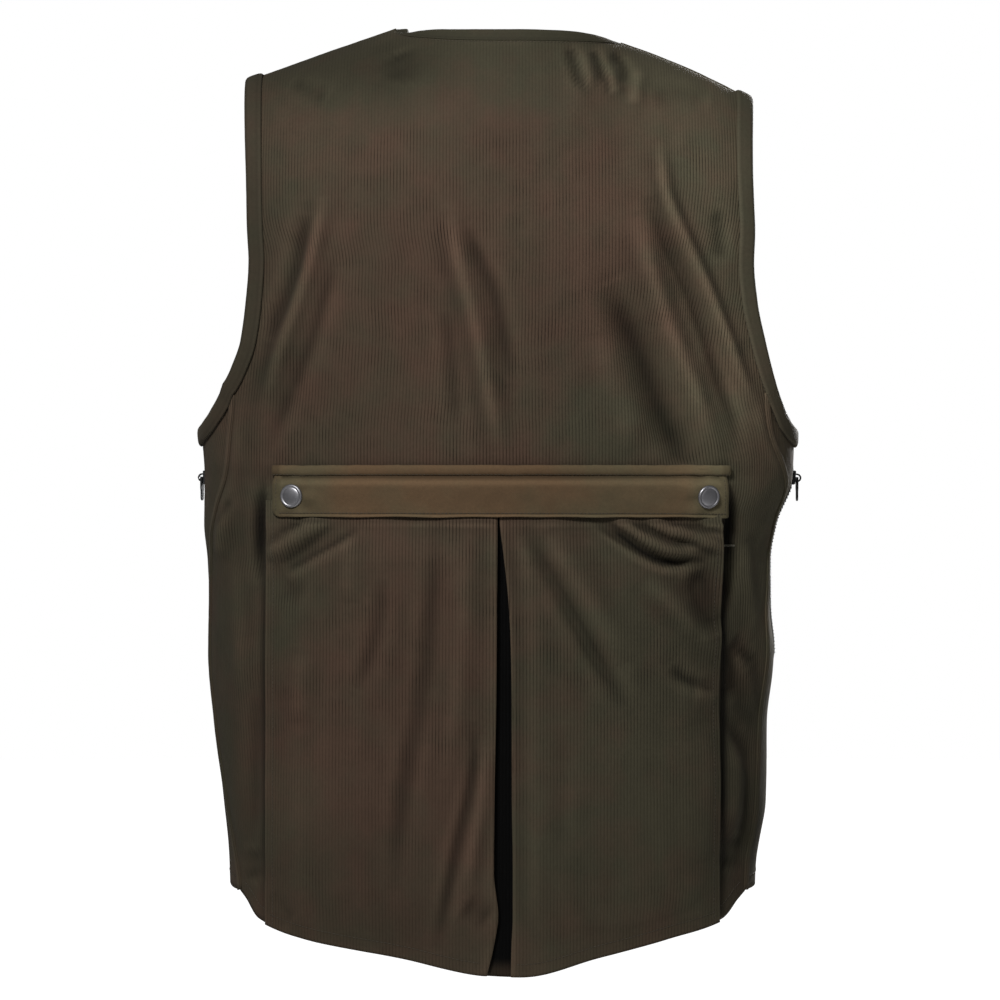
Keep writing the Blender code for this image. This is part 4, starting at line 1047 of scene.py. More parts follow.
# %% Node helpers
def new_group(name, inputs, outputs):
    group = bpy.data.node_groups.new(name, "ShaderNodeTree")
    for label, kind, value in inputs:
        socket = group.interface.new_socket(label, in_out="INPUT", socket_type=kind)
        if value is not None:
            socket.default_value = value
    for label in outputs:
        group.interface.new_socket(label, in_out="OUTPUT", socket_type="NodeSocketFloat")
    return group, group.nodes.new("NodeGroupInput"), group.nodes.new("NodeGroupOutput")


def put(tree, kind, *inputs, **settings):
    """Adds a node, links or sets its inputs in order, and returns its first output."""
    node = tree.nodes.new(kind)
    for key, value in settings.items():
        setattr(node, key, value)
    for slot, value in enumerate(inputs):
        if isinstance(value, bpy.types.NodeSocket):
            tree.links.new(value, node.inputs[slot])
        elif value is not None:
            node.inputs[slot].default_value = value
    return node.outputs[0]


def sums(tree, operation, *inputs):
    return put(tree, "ShaderNodeMath", *inputs, operation=operation)


def noise_of(tree, place, scale, detail=2.0):
    node = tree.nodes.new("ShaderNodeTexNoise")
    tree.links.new(place, node.inputs["Vector"])
    node.inputs["Scale"].default_value = scale
    node.inputs["Detail"].default_value = detail
    return node.outputs["Fac"]


def spread(tree, value, low, high):
    """Takes a value's range low to high and makes it 0 to 1."""
    node = tree.nodes.new("ShaderNodeMapRange")
    tree.links.new(value, node.inputs["Value"])
    node.inputs["From Min"].default_value = low
    node.inputs["From Max"].default_value = high
    return node.outputs["Result"]


# %% Cord pattern
RIB_PITCH = 0.0025
RIB_WANDER = 0.0006
WEFT_PITCH = 0.0009  # the fine threads that cross the cords

group, start, end = new_group(
    "cord",
    (("Flat", "NodeSocketVector", None), ("Pitch", "NodeSocketFloat", RIB_PITCH)),
    ("Height", "Line"),
)
flat = start.outputs["Flat"]
parts = group.nodes.new("ShaderNodeSeparateXYZ")
group.links.new(flat, parts.inputs[0])
bent = sums(group, "MULTIPLY_ADD", noise_of(group, flat, 30.0), RIB_WANDER, parts.outputs[0])
turns = sums(group, "DIVIDE", bent, start.outputs["Pitch"])
wave = sums(group, "ABSOLUTE", sums(group, "SINE", sums(group, "MULTIPLY", turns, math.pi)))
cord_height = sums(group, "POWER", wave, 0.6)
thread = sums(group, "SINE", sums(group, "MULTIPLY", parts.outputs[1], 2 * math.pi / WEFT_PITCH))
strength = spread(group, noise_of(group, flat, 55.0, 4.0), 0.35, 0.75)
patchy = spread(group, noise_of(group, flat, 17.0, 2.0), 0.38, 0.62)
strength = sums(group, "MULTIPLY", strength, sums(group, "MULTIPLY_ADD", patchy, 0.80, 0.30))
# the groove line is painted shade where two cords meet
groove = sums(group, "SUBTRACT", 1.0, spread(group, wave, 0.05, 0.55))
line = sums(group, "MULTIPLY", groove, sums(group, "MULTIPLY_ADD", strength, 0.85, 0.12))
height = sums(group, "MULTIPLY_ADD", thread, 0.08, cord_height)
group.links.new(height, end.inputs["Height"])
group.links.new(line, end.inputs["Line"])
CORD = group
print("cord pattern", len(group.nodes), "nodes")

# %% Canvas pattern
group, start, end = new_group(
    "canvas",
    (("Flat", "NodeSocketVector", None), ("Thread", "NodeSocketFloat", 0.0007)),
    ("Height", "Shade"),
)
parts = group.nodes.new("ShaderNodeSeparateXYZ")
group.links.new(start.outputs["Flat"], parts.inputs[0])
waves = []
for side in (0, 1):
    count = sums(group, "DIVIDE", parts.outputs[side], start.outputs["Thread"])
    waves.append(sums(group, "SINE", sums(group, "MULTIPLY", count, math.pi)))
woven = sums(group, "MULTIPLY", *waves)
slub = noise_of(group, start.outputs["Flat"], 900.0, 2.0)
group.links.new(sums(group, "MULTIPLY_ADD", woven, 0.5, slub), end.inputs["Height"])
group.links.new(slub, end.inputs["Shade"])
CANVAS = group

# %% Dyed cloth
Finish = namedtuple("Finish", "material slot")
NAP_TINT = (1.0, 0.86, 0.70, 1.0)
NAP_ROUGHNESS = 0.45


def fine_relief(tree, height, relief):
    """Feeds a height to the shader's normal, through a bump of so many metres."""
    bump = put(tree, "ShaderNodeBump", 1.0, relief).node
    tree.links.new(height, bump.inputs["Height"])
    tree.links.new(bump.outputs["Normal"], tree.nodes["Principled BSDF"].inputs["Normal"])


def dyed_cloth(name, slot, pattern, size, brown, dull, relief, contrast, rough, sheen=0.03, worn=0.14):
    """Cloth whose dye drifts between two colours, paler at its edges, with painted shade in gaps and folds.
    """
    material = bpy.data.materials.new(name)
    material.use_nodes = True
    tree = material.node_tree
    shader = tree.nodes["Principled BSDF"]
    flat = put(tree, "ShaderNodeUVMap", uv_map="cloth")
    woven = tree.nodes.new("ShaderNodeGroup")
    woven.node_tree = pattern
    tree.links.new(flat, woven.inputs["Flat"])
    woven.inputs[1].default_value = size
    place = tree.nodes.new("ShaderNodeTexCoord").outputs["Object"]
    told = {}
    for key in ("olive", "pale", "cords", "edge", "dark", "crease"):
        attribute = tree.nodes.new("ShaderNodeAttribute")
        attribute.attribute_name = key
        told[key] = attribute.outputs["Fac"]
    fleck = noise_of(tree, place, 420.0, 3.0)
    cloud = noise_of(tree, place, 34.0, 4.0)
    dye = sums(tree, "MULTIPLY_ADD", sums(tree, "SUBTRACT", cloud, 0.5), 1.5, told["olive"])
    dye = spread(tree, dye, 0.0, 1.0)
    colour = put(tree, "ShaderNodeMix", data_type="RGBA")
    mixer = colour.node
    tree.links.new(dye, mixer.inputs["Factor"])
    mixer.inputs["A"].default_value = (*brown, 1.0)
    mixer.inputs["B"].default_value = (*dull, 1.0)
    mixed = mixer.outputs["Result"]
    height = woven.outputs["Height"]
    # The groove line between cords darkens the colour: painted shade where two cords meet.
    if pattern is CORD:
        line = sums(tree, "MULTIPLY", woven.outputs[1], told["cords"])
        height = sums(tree, "MULTIPLY", height, sums(tree, "MULTIPLY_ADD", told["cords"], 0.7, 0.3))
        parts = [(line, -contrast, 1.0)]
    else:
        parts = [(woven.outputs[1], contrast, 1 - contrast / 2)]
    # Painted shade: the dark number darkens the gaps beside the pocket, the pleat and deep folds. The
    # crease number darkens troughs as painted shade and makes ridges paler, partly as rub wear and partly
    # as painted light. The pale number is dye, and painted shade in a few patches. The edge number is rub
    # wear.
    parts += [(told["edge"], worn, 1.0), (told["dark"], -1.0, 1.0)]
    parts += [(told["crease"], 0.42, 1.0), (told["pale"], 1.0, 1.0)]
    value = sums(tree, "MULTIPLY_ADD", fleck, 0.30, 0.85)
    for part, share, rest in parts:
        value = sums(tree, "MULTIPLY", value, sums(tree, "MULTIPLY_ADD", part, share, rest))
    scaled = tree.nodes.new("ShaderNodeVectorMath")
    scaled.operation = "SCALE"
    tree.links.new(mixed, scaled.inputs[0])
    tree.links.new(value, scaled.inputs["Scale"])
    tree.links.new(scaled.outputs[0], shader.inputs["Base Color"])
    fine_relief(tree, height, relief)
    tree.links.new(sums(tree, "MULTIPLY_ADD", fleck, 0.16, rough - 0.08), shader.inputs["Roughness"])
    shader.inputs["Sheen Weight"].default_value = sheen
    shader.inputs["Sheen Roughness"].default_value = NAP_ROUGHNESS
    shader.inputs["Sheen Tint"].default_value = NAP_TINT
    shader.inputs["Specular IOR Level"].default_value = 0.10
    return Finish(material, slot)


RIBBED = dyed_cloth(
    "ribbed_cloth", "rib_cloth", CORD, size=RIB_PITCH, relief=0.00038, contrast=1.12, rough=0.80,
    brown=(0.0740, 0.0460, 0.0310), dull=(0.0540, 0.0480, 0.0300),
)
BINDING = dyed_cloth(
    "edge_binding", "edge_band", CANVAS, size=0.0006, relief=0.00008, contrast=0.30, rough=0.82,
    brown=(0.047, 0.034, 0.023), dull=(0.039, 0.036, 0.023), worn=0.40,
)
TAN = dyed_cloth(
    "flap_canvas", "flap_cloth", CANVAS, size=0.0007, relief=0.00009, contrast=0.26, rough=0.84,
    brown=(0.101, 0.063, 0.034), dull=(0.077, 0.065, 0.037),
)
TAPE = dyed_cloth(
    "zip_tape_cloth", "zip_tape", CANVAS, size=0.0009, relief=0.00012, contrast=0.30, rough=0.85,
    brown=(0.011, 0.010, 0.009), dull=(0.010, 0.010, 0.008), sheen=0.05,
)

# %% Thread and metal
def plain_finish(name, colour, scale, rough, vary, metallic=0.0, relief=0.00002):
    """Thread, plastic or metal: one colour broken up by fine noise, with a fine relief."""
    material = bpy.data.materials.new(name)
    material.use_nodes = True
    tree = material.node_tree
    shader = tree.nodes["Principled BSDF"]
    place = tree.nodes.new("ShaderNodeTexCoord").outputs["Object"]
    grit = noise_of(tree, place, scale, 4.0)
    worn = noise_of(tree, place, scale / 9, 3.0)
    ramp = tree.nodes.new("ShaderNodeMix")
    ramp.data_type = "RGBA"
    tree.links.new(spread(tree, worn, 0.35, 0.70), ramp.inputs["Factor"])
    ramp.inputs["A"].default_value = (*[c * (1 - vary) for c in colour], 1.0)
    ramp.inputs["B"].default_value = (*[min(c * (1 + vary), 1.0) for c in colour], 1.0)
    tree.links.new(ramp.outputs["Result"], shader.inputs["Base Color"])
    shader.inputs["Metallic"].default_value = metallic
    tree.links.new(sums(tree, "MULTIPLY_ADD", grit, 0.25, rough - 0.12), shader.inputs["Roughness"])
    fine_relief(tree, grit, relief)
    return material


THREAD_GRIT = 2600.0
PLASTIC_GRIT = 900.0
METAL_GRIT = 700.0
TWIST = 0.00004  # relief of a thread
THREAD = plain_finish("thread", (0.058, 0.046, 0.030), THREAD_GRIT, 0.70, 0.18, relief=TWIST)
PALE_THREAD = plain_finish("pale_thread", (0.110, 0.100, 0.075), THREAD_GRIT, 0.70, 0.18, relief=TWIST)
GUNMETAL = plain_finish("gunmetal", (0.300, 0.295, 0.310), METAL_GRIT, 0.42, 0.20, metallic=0.9)
BLACK_PAINT = plain_finish("black_paint", (0.012, 0.012, 0.012), PLASTIC_GRIT, 0.42, 0.30)
TEETH = plain_finish("black_teeth", (0.014, 0.014, 0.013), PLASTIC_GRIT, 0.48, 0.25)
print("materials", len(bpy.data.materials))

# %% [markdown]
# ## Hanging the panels
# The three panels stand for the solid's three. Their walls are a cloth's true thickness,
# a little over a millimetre, so the turned bindings can wrap over the edges.

# %% Panels
PANEL_WALL = 0.0011
CAP_ROW = BODY_ROWS + ARM_ROWS
MIDDLE = NECK_COLUMNS + SHOULDER_COLUMNS

back_flat = grain(BACK, MIDDLE, lambda row: 0.0, CAP_ROW)
# Painted shade on the back: dark in the gaps beside the pocket and in its deep creases.
shade = [
    [max(gap_shade(place), deep_shade(BACK_CREASES, place.x, place.z, 0.42, 2)) for place in row]
    for row in BACK
]
cloth("back_cloth", BACK, back_flat, PANEL_WALL, INWARD, RIBBED, ["back_panel"], dark=shade)
for side in (-1, 1):
    name = side_name(side)
    flat = grain(FRONTS[side], 0, lambda row: abs(row[0].x), CAP_ROW)
    cloth("front_cloth_" + name, FRONTS[side], flat, PANEL_WALL, INWARD, RIBBED, ["front_" + name])

# %% [markdown]
# ## Binding the edges
# A strip of plain cloth is folded round the neck and each armhole. Its section is a low
# arch that starts just on the panel and ends in a rounded edge, and it is swept along the
# panels' own edge. The sideways direction is averaged over a few places, because the strip
# would kink where back and front meet.

# %% Binding
Arch = namedtuple("Arch", "across rise")
BINDING_ARCH = (
    Arch(-0.12, 0.00012),
    Arch(-0.09, 0.00050),
    Arch(0.02, 0.00070),
    Arch(0.25, 0.00082),
    Arch(0.50, 0.00086),
    Arch(0.75, 0.00080),
    Arch(0.92, 0.00055),
    Arch(0.98, 0.00020),
    Arch(1.00, -0.00030),
)
BINDING_WALL = 0.0026
BINDING_EDGE = 0.0016  # a binding is rubbed pale this far from its edges
BINDING_LEAST = 0.0036  # its width at the foot of the V, where both sides meet
WAY = 3  # directions are averaged over this many places to each side
PUCKER = 0.00012

Station = namedtuple("Station", "place away")


def edge_station(place, inner):
    """A place on a panel's edge, with the way off the panel there."""
    return Station(place, place - inner)


def swept(stations, widths, ring, arch):
    """Rows of a strip's places beside an edge, and the flat spots that belong to them."""
    count = len(stations)

    def nearest(k):
        return k % count if ring else clamp(k, 0, count - 1)

    outs, sideways = [], []
    for i, (place, away) in enumerate(stations):
        along = (stations[nearest(i + WAY)].place - stations[nearest(i - WAY)].place).normalized()
        across = (away - along * away.dot(along)).normalized()
        outs.append(outward(along.cross(across).normalized(), place))
        sideways.append(across)
    rows, flat, length = [], [], 0.0
    for i, (place, away) in enumerate(stations):
        near = [nearest(k) for k in range(i - WAY, i + WAY + 1)]
        normal = sum((outs[k] for k in near), Vector()).normalized()
        across = sum((sideways[k] for k in near), Vector()).normalized()
        pucker = PUCKER * noise.noise(place / 0.006)
        rows.append([place + across * widths[i] * at.across + normal * (at.rise + pucker) for at in arch])
        length += (place - stations[i - 1].place).length if i else 0.0
        flat.append([(widths[i] * at.across, length) for at in arch])
    return rows, flat


def even_strip(stations, width, ring, arch):
    return swept(stations, [width] * len(stations), ring, arch)


def armhole_stations(side):
    front = FRONTS[side]
    column = len(BACK[0]) - 1 if side > 0 else 0
    up = [edge_station(row[column], row[column - side * 4]) for row in BACK[BODY_ROWS:]]
    down = [
        edge_station(row[FRONT_COLUMNS], row[FRONT_COLUMNS - 4]) for row in reversed(front[BODY_ROWS + 1 :])
    ]
    rim, inside = front[BODY_ROWS][FRONT_COLUMNS:], front[BODY_ROWS - 2][FRONT_COLUMNS:]
    under = [edge_station(place, inner) for place, inner in zip(rim, inside)]

    def meeting(one, other):
        away = one.away.normalized() + other.away.normalized()
        return Station((one.place + other.place) / 2, away)

    top, low = meeting(up[-1], down[0]), meeting(under[-1], up[0])
    return [low, *up[1:-1], top, *down[1:], *under[:-1]]


def neck_stations():
    left_leg, right_leg = (
        [edge_station(row[0], row[3]) for row in FRONTS[side][BODY_ROWS + V_ROW :]] for side in (-1, 1)
    )
    neck = slice(MIDDLE - NECK_COLUMNS, MIDDLE + NECK_COLUMNS + 1)
    across = [edge_station(place, inner) for place, inner in zip(BACK[-1][neck], BACK[-3][neck])]
    corners = []
    for one, other in ((left_leg[-1], across[0]), (right_leg[-1], across[-1])):
        place = (one.place + other.place) / 2
        corners.append(Station(place, Vector((-place.x, 0.0, 0.0))))
    return [*left_leg[:-1], corners[0], *across[1:-1], corners[1], *right_leg[-2::-1]]


def neck_width(place):
    """The binding narrows down the V, until both sides meet above the zip."""
    if place.y <= SEAM_GAP:
        return BAND
    return clamp((abs(place.x) - 0.0026) * 1.02, BINDING_LEAST, BAND)


def bind(name, node, strip, ring):
    rows, flat = strip
    cloth(name, rows, flat, BINDING_WALL, INWARD, BINDING, [node], ring=ring, reach=BINDING_EDGE)


for side in (-1, 1):
    strip = even_strip(armhole_stations(side), BAND, True, BINDING_ARCH)
    bind("binding_armhole_" + side_name(side), "armhole_band_" + side_name(side), strip, True)

stations = neck_stations()
widths = [neck_width(station.place) for station in stations]
bind("binding_neck", "neck_band", swept(stations, widths, False, BINDING_ARCH), False)

# %% [markdown]
# ## The game pocket
# A game pocket is a big flat bag on the back. Its cloth is turned under at both sides, and an
# inverted box pleat in the middle lets it open. We draw that section at each height as a path
# of two numbers: how far across the back, and how far off it. Then every place is dropped
# onto the back panel along its own normal, so the pocket follows each fold beneath it. The
# cloth inside the pleat never sees the light, so a number on it paints it dark in the
# material: painted shade, as in the face's deep folds.

# %% Laying places on a panel
DRAPE_REACH = 0.03


def panel_tree(grid):
    return BVHTree.FromPolygons([place for row in grid for place in row], panel_faces(grid))


def drape(tree, place, out, lift):
    hit = tree.ray_cast(place + out * DRAPE_REACH, -out, 2 * DRAPE_REACH)[0]
    return (hit or place) + out * lift


BACK_TREE = panel_tree(BACK)
FRONT_TREES = {side: panel_tree(FRONTS[side]) for side in (-1, 1)}


def on_back(x, z, lift):
    return drape(BACK_TREE, plain_back(x, z), back_normal(x, z), lift)


ACROSS_STEP = 0.002
ACROSS = [0.0]
for k in range(1, 110):
    step = plain_back(k * ACROSS_STEP, -0.5) - plain_back((k - 1) * ACROSS_STEP, -0.5)
    ACROSS.append(ACROSS[-1] + step.length)


def across_back(x):
    """Length of cloth from the centre back out to x."""
    place = min(abs(x) / ACROSS_STEP, len(ACROSS) - 1.001)
    k = int(place)
    return math.copysign(mix(ACROSS[k], ACROSS[k + 1], place - k), x)


# %% Pocket's section and folds
POCKET_LEFT = -0.1740
POCKET_RIGHT = 0.1672
POCKET_TOP = -0.3680
POCKET_FOLD_TOP = -0.3840
POCKET_ROWS = 124
POCKET_COLUMNS = 76
POCKET_LIFT = 0.0031
GUSSET_LIFT = 0.0011
GUSSET_DEPTH = 0.016
PLEAT_RETURN = 0.034
PLEAT_SLOPE = 0.04
PLEAT_LAYERS = (0.0011, 0.0031, 0.0051)
PLEAT_ZONE = 0.060  # the pleat's layers lie within this of the middle
PLEAT_HEM = -0.722
HAIR = 0.0001
POCKET_FLOOR = 0.0012  # a trough flattens out here, before it meets the back
Pleat = namedtuple("Pleat", "z left right")
PLEAT = (
    Pleat(-0.368, 0.0006, 0.0018),
    Pleat(-0.383, 0.0002, 0.0024),
    Pleat(-0.413, 0.0000, 0.0058),
    Pleat(-0.444, -0.0002, 0.0090),
    Pleat(-0.474, -0.0004, 0.0106),
    Pleat(-0.519, -0.0008, 0.0114),
    Pleat(-0.595, -0.0022, 0.0116),
    Pleat(-0.648, -0.0026, 0.0122),
    Pleat(-0.680, 0.0006, 0.0122),
    Pleat(-0.705, -0.0030, 0.0112),
    Pleat(-0.730, -0.0090, 0.0108),
)
POCKET_CREASES = (
    # right half, under the flap
    Crease(((0.108, -0.386), (0.132, -0.404), (0.157, -0.410)), 0.0197, 0.0036),
    Crease(
        ((0.076, -0.383), (0.093, -0.395), (0.108, -0.407), (0.126, -0.416), (0.149, -0.413)),
        0.0042, -0.0090,
    ),
    Crease(((0.087, -0.382), (0.108, -0.396), (0.125, -0.406), (0.142, -0.408)), 0.0038, 0.0042),
    Crease(((0.102, -0.383), (0.120, -0.394), (0.134, -0.401), (0.148, -0.399)), 0.0034, -0.0056),
    Crease(((0.126, -0.388), (0.143, -0.394), (0.166, -0.404)), 0.0045, 0.0034),
    Crease(((0.120, -0.382), (0.143, -0.387), (0.167, -0.391)), 0.0034, -0.0036),
    Crease(((0.145, -0.421), (0.157, -0.441), (0.167, -0.469)), 0.0129, -0.0044),
    Crease(((0.108, -0.427), (0.126, -0.442), (0.146, -0.465), (0.166, -0.486)), 0.0091, 0.0036),
    # right half, below
    Crease(((0.019, -0.385), (0.036, -0.417), (0.067, -0.475), (0.096, -0.525)), 0.0083, -0.0046),
    Crease(((0.039, -0.391), (0.059, -0.429), (0.078, -0.459), (0.095, -0.489)), 0.0106, 0.0032),
    Crease(((0.129, -0.492), (0.140, -0.505), (0.167, -0.510)), 0.0061, -0.0026),
    Crease(((0.154, -0.535), (0.157, -0.580), (0.155, -0.641)), 0.0091, 0.0020),
    Crease(((0.048, -0.535), (0.045, -0.641)), 0.0091, -0.0016),
    Crease(((0.146, -0.512), (0.167, -0.515)), 0.0106, 0.0018),
    Crease(((0.166, -0.671), (0.108, -0.701), (0.048, -0.705)), 0.0151, -0.0020),
    # left half, under the flap
    Crease(((-0.106, -0.384), (-0.120, -0.394), (-0.138, -0.405), (-0.160, -0.420)), 0.0070, -0.0064),
    Crease(((-0.173, -0.410), (-0.152, -0.397), (-0.132, -0.383)), 0.0061, 0.0048),
    Crease(((-0.164, -0.388), (-0.145, -0.383)), 0.0045, -0.0026),
    Crease(((-0.173, -0.423), (-0.157, -0.435), (-0.140, -0.438)), 0.0114, -0.0024),
    # left half, below
    Crease(
        ((-0.045, -0.387), (-0.048, -0.444), (-0.055, -0.516), (-0.072, -0.595), (-0.076, -0.656)),
        0.0076, -0.0042,
    ),
    Crease(((-0.025, -0.391), (-0.025, -0.459), (-0.031, -0.519), (-0.040, -0.580)), 0.0098, 0.0032),
    Crease(((-0.017, -0.538), (-0.016, -0.572), (-0.030, -0.629), (-0.044, -0.701)), 0.0045, -0.0034),
    Crease(((-0.010, -0.550), (-0.011, -0.595), (-0.019, -0.633), (-0.023, -0.663)), 0.0053, 0.0024),
    Crease(((-0.086, -0.425), (-0.087, -0.459), (-0.104, -0.512)), 0.0068, -0.0024),
    Crease(((-0.111, -0.391), (-0.111, -0.444)), 0.0076, 0.0016),
    Crease(((-0.145, -0.482), (-0.149, -0.535)), 0.0076, 0.0018),
    Crease(((-0.178, -0.672), (-0.154, -0.689)), 0.0106, -0.0020),
    Crease(((-0.026, -0.671), (-0.004, -0.682)), 0.0106, -0.0024),
)


def half_turn(x, side, low, high):
    """A fold's rounded edge, from its lower layer to its upper one."""
    radius = (high - low) / 2
    turns = [math.radians(turn) for turn in range(-75, 90, 25)]
    return [(x + side * radius * math.cos(t), low + radius * (1 + math.sin(t))) for t in turns]


def pocket_path(z):
    """The section at a height: pairs of a place across the back and a lift off it."""
    left = smooth(PLEAT, "z", z, "left")
    right = smooth(PLEAT, "z", z, "right")
    under, turned, face = PLEAT_LAYERS

    def half(fold_x, side, pocket_edge):
        inner = fold_x + side * PLEAT_RETURN
        start = fold_x + side * (face - turned) / 2
        path = [(mix(fold_x, inner, share), under) for share in (0.2, 0.4, 0.6, 0.8)]
        path += half_turn(inner, side, under, turned)
        path += [(mix(inner, start, share), turned) for share in (0.25, 0.5, 0.75)]
        path += half_turn(start, -side, turned, face)
        edge = pocket_edge - side * (POCKET_LIFT - GUSSET_LIFT) / 2
        for k in range(1, POCKET_COLUMNS + 1):
            x = mix(start, edge, k / POCKET_COLUMNS)
            beyond = max(left - x, x - right, 0.0)
            path.append((x, mix(face, POCKET_LIFT, ease((beyond - PLEAT_RETURN) / PLEAT_SLOPE))))
        path += half_turn(edge, side, GUSSET_LIFT, POCKET_LIFT)[::-1]
        tucked = pocket_edge - side * GUSSET_DEPTH
        path += [(mix(pocket_edge, tucked, share), GUSSET_LIFT) for share in (0.25, 0.5, 0.75, 1.0)]
        return path

    left_half = half(left, -1, POCKET_LEFT)
    right_half = half(right, 1, POCKET_RIGHT)
    return left_half[::-1] + [(mix(left, right, 0.5), under)] + right_half


def pocket_swell(x, z):
    """How far the pocket's face bellies out, with its folds."""
    below_flap = ease((POCKET_FOLD_TOP + 0.004 - z) / 0.007)
    from_hem = ease((z + 0.705) / 0.050)
    left, right = smooth(PLEAT, "z", z, "left"), smooth(PLEAT, "z", z, "right")
    inward = min(x - POCKET_LEFT, POCKET_RIGHT - x)
    belly = 0.0044 * ease(inward / 0.030) * mix(0.25, 1.0, from_hem)
    belly *= mix(0.25, 1.0, ease((POCKET_FOLD_TOP - z) / 0.030))
    if x > (left + right) / 2:
        belly *= mix(0.15, 1.0, ease((x - right - 0.002) / 0.016))
    else:
        belly += 0.0012 * ease((x + 0.055) / 0.045) * ease((left - x) / 0.004)
    slow = 0.0010 * noise.noise(Vector((x / 0.05, z / 0.09, 4.0)))
    fine = 0.0004 * noise.noise(Vector((x / 0.016, z / 0.030, 9.0)))
    stands = 0.0060 * ease((x - 0.146) / 0.020) * ease((z + 0.52) / 0.08)
    swell = belly + crease_height(POCKET_CREASES, x, z) + slow + stands
    if swell < POCKET_FLOOR:
        swell = POCKET_FLOOR * math.exp((swell - POCKET_FLOOR) / POCKET_FLOOR)
    return (swell + fine) * below_flap


def pocket_shade(x, z, lift):
    """Painted shade: dark inside the pleat, but for its hem, and in the deep folds of the face."""
    if abs(x) < PLEAT_ZONE and lift < PLEAT_LAYERS[1] + HAIR:
        return mix(0.6, 1.0, ease((z - PLEAT_HEM) / 0.010))
    return deep_shade(POCKET_CREASES, x, z, 0.88, 4)


POCKET, flat, dark = [], [], []
for i in range(POCKET_ROWS + 2):
    share = max(i - 1, 0) / POCKET_ROWS
    first = POCKET_TOP if i == 0 else POCKET_FOLD_TOP
    row, spots, pocket_painted_shade = [], [], []
    for x, lift in pocket_path(mix(first, back_hem(0.0), share)):
        z = mix(first, back_hem(x) + 0.0004, share)
        on_face = lift > mix(GUSSET_LIFT, POCKET_LIFT, 0.5)
        on_top = lift > PLEAT_LAYERS[1] - HAIR or abs(x) > PLEAT_ZONE
        swell = pocket_swell(x, z) if on_face and on_top else 0.0
        row.append(on_back(x, z, lift + swell))
        spots.append((across_back(x), -z))
        pocket_painted_shade.append(pocket_shade(x, z, lift))
    POCKET.append(row)
    flat.append(spots)
    dark.append(pocket_painted_shade)
cloth("pocket_cloth", POCKET, flat, 0.0010, MIDWAY, RIBBED, ["game_pocket"], dark=dark, reach=0.004)
POCKET_TREE = panel_tree(POCKET)


def on_pocket(x, z, lift):
    return drape(POCKET_TREE, plain_back(x, z), back_normal(x, z), lift)


# %% [markdown]
# ## Flap and welt
# The flap is a strip of tan canvas, turned in at its edges, that hangs from a rounded welt.
# It swells a little over the pleat's layers, sinks where each snap pulls it down, and its
# lower edge waves slightly. The welt is the same canvas over a cord, so its section is a
# half circle, and its line wobbles as a hand-guided seam does.

# %% Flap
FLAP_LEFT = -0.1676
FLAP_COLUMNS = 150
FLAP_LINES = 26
FLAP_CORNER = 0.0060
SNAP_X = (-0.1532, 0.1576)
FlapRow = namedtuple("FlapRow", "z lift")
FLAP_ROWS = (
    FlapRow(-0.3491, 0.0014),
    FlapRow(-0.3513, 0.0023),
    FlapRow(-0.3533, 0.0038),
    FlapRow(-0.3565, 0.0049),
    FlapRow(-0.3651, 0.0052),
    FlapRow(-0.3746, 0.0053),
    FlapRow(-0.3806, 0.0053),
)
FLAP_TOP = FLAP_ROWS[0].z
FLAP_LOW = FLAP_ROWS[-1].z


def flap_lift(x, lift):
    over = 1 - ease((abs(x - 0.004) - 0.055) / 0.045)
    return lift + 0.0022 * over * ease((lift - 0.0025) / 0.0015)


def flap_place(x, z, raise_by=0.0):
    lift = flap_lift(x, smooth(FLAP_ROWS, "z", z, "lift"))
    for snap_x in SNAP_X:
        gap = math.hypot(x - snap_x, z - SNAP_Z)
        lift -= 0.0007 * math.exp(-((gap / 0.011) ** 2))
        turn = math.atan2(z - SNAP_Z, x - snap_x)
        lift += 0.00035 * math.sin(5 * turn + 1.0) * math.exp(-(((gap - 0.014) / 0.006) ** 2))
    lift += 0.0006 * noise.noise(Vector((x / 0.045, z / 0.030, 2.0))) * ease((FLAP_TOP - z) / 0.01)
    lift += 0.00025 * noise.noise(Vector((x / 0.012, z / 0.012, 6.0)))
    hem = 0.0007 * ease((FLAP_LOW + 0.0035 - z) / 0.0030) * noise.noise(Vector((x / 0.03, 0.0, 5.0)))
    rolled = 0.00035 * ease((FLAP_LOW + 0.0022 - z) / 0.0010)
    return on_back(x, z + hem, lift + rolled + raise_by)


def flap_side(z, side):
    """The flap's end at a height, with its rounded lower corner."""
    radius = FLAP_CORNER if side < 0 else FLAP_CORNER * 0.35
    drop = min(max(FLAP_LOW + radius - z, 0.0), radius)
    cut = radius - math.sqrt(max(radius**2 - drop**2, 0.0))
    return FLAP_LEFT + cut if side < 0 else FLAP_RIGHT - cut


rows, flat = [], []
for i in range(FLAP_LINES + 1):
    share = i / FLAP_LINES
    z = mix(FLAP_TOP, FLAP_LOW, 1 - (1 - share) ** 1.4)
    left, right = flap_side(z, -1), flap_side(z, 1)
    xs = [mix(left, right, k / FLAP_COLUMNS) for k in range(FLAP_COLUMNS + 1)]
    rows.append([flap_place(x, z) for x in xs])
    flat.append([(across_back(x), z) for x in xs])
cloth("flap_cloth", rows, flat, 0.0013, MIDWAY, TAN, ["pocket_flap"], reach=0.0030)

# %% Welt
WELT_TOP = -0.3416
WELT_LOW = -0.3496
WELT_LINES = 12
WELT_FLAT = 0.012  # the width that the welt's strip was cut to


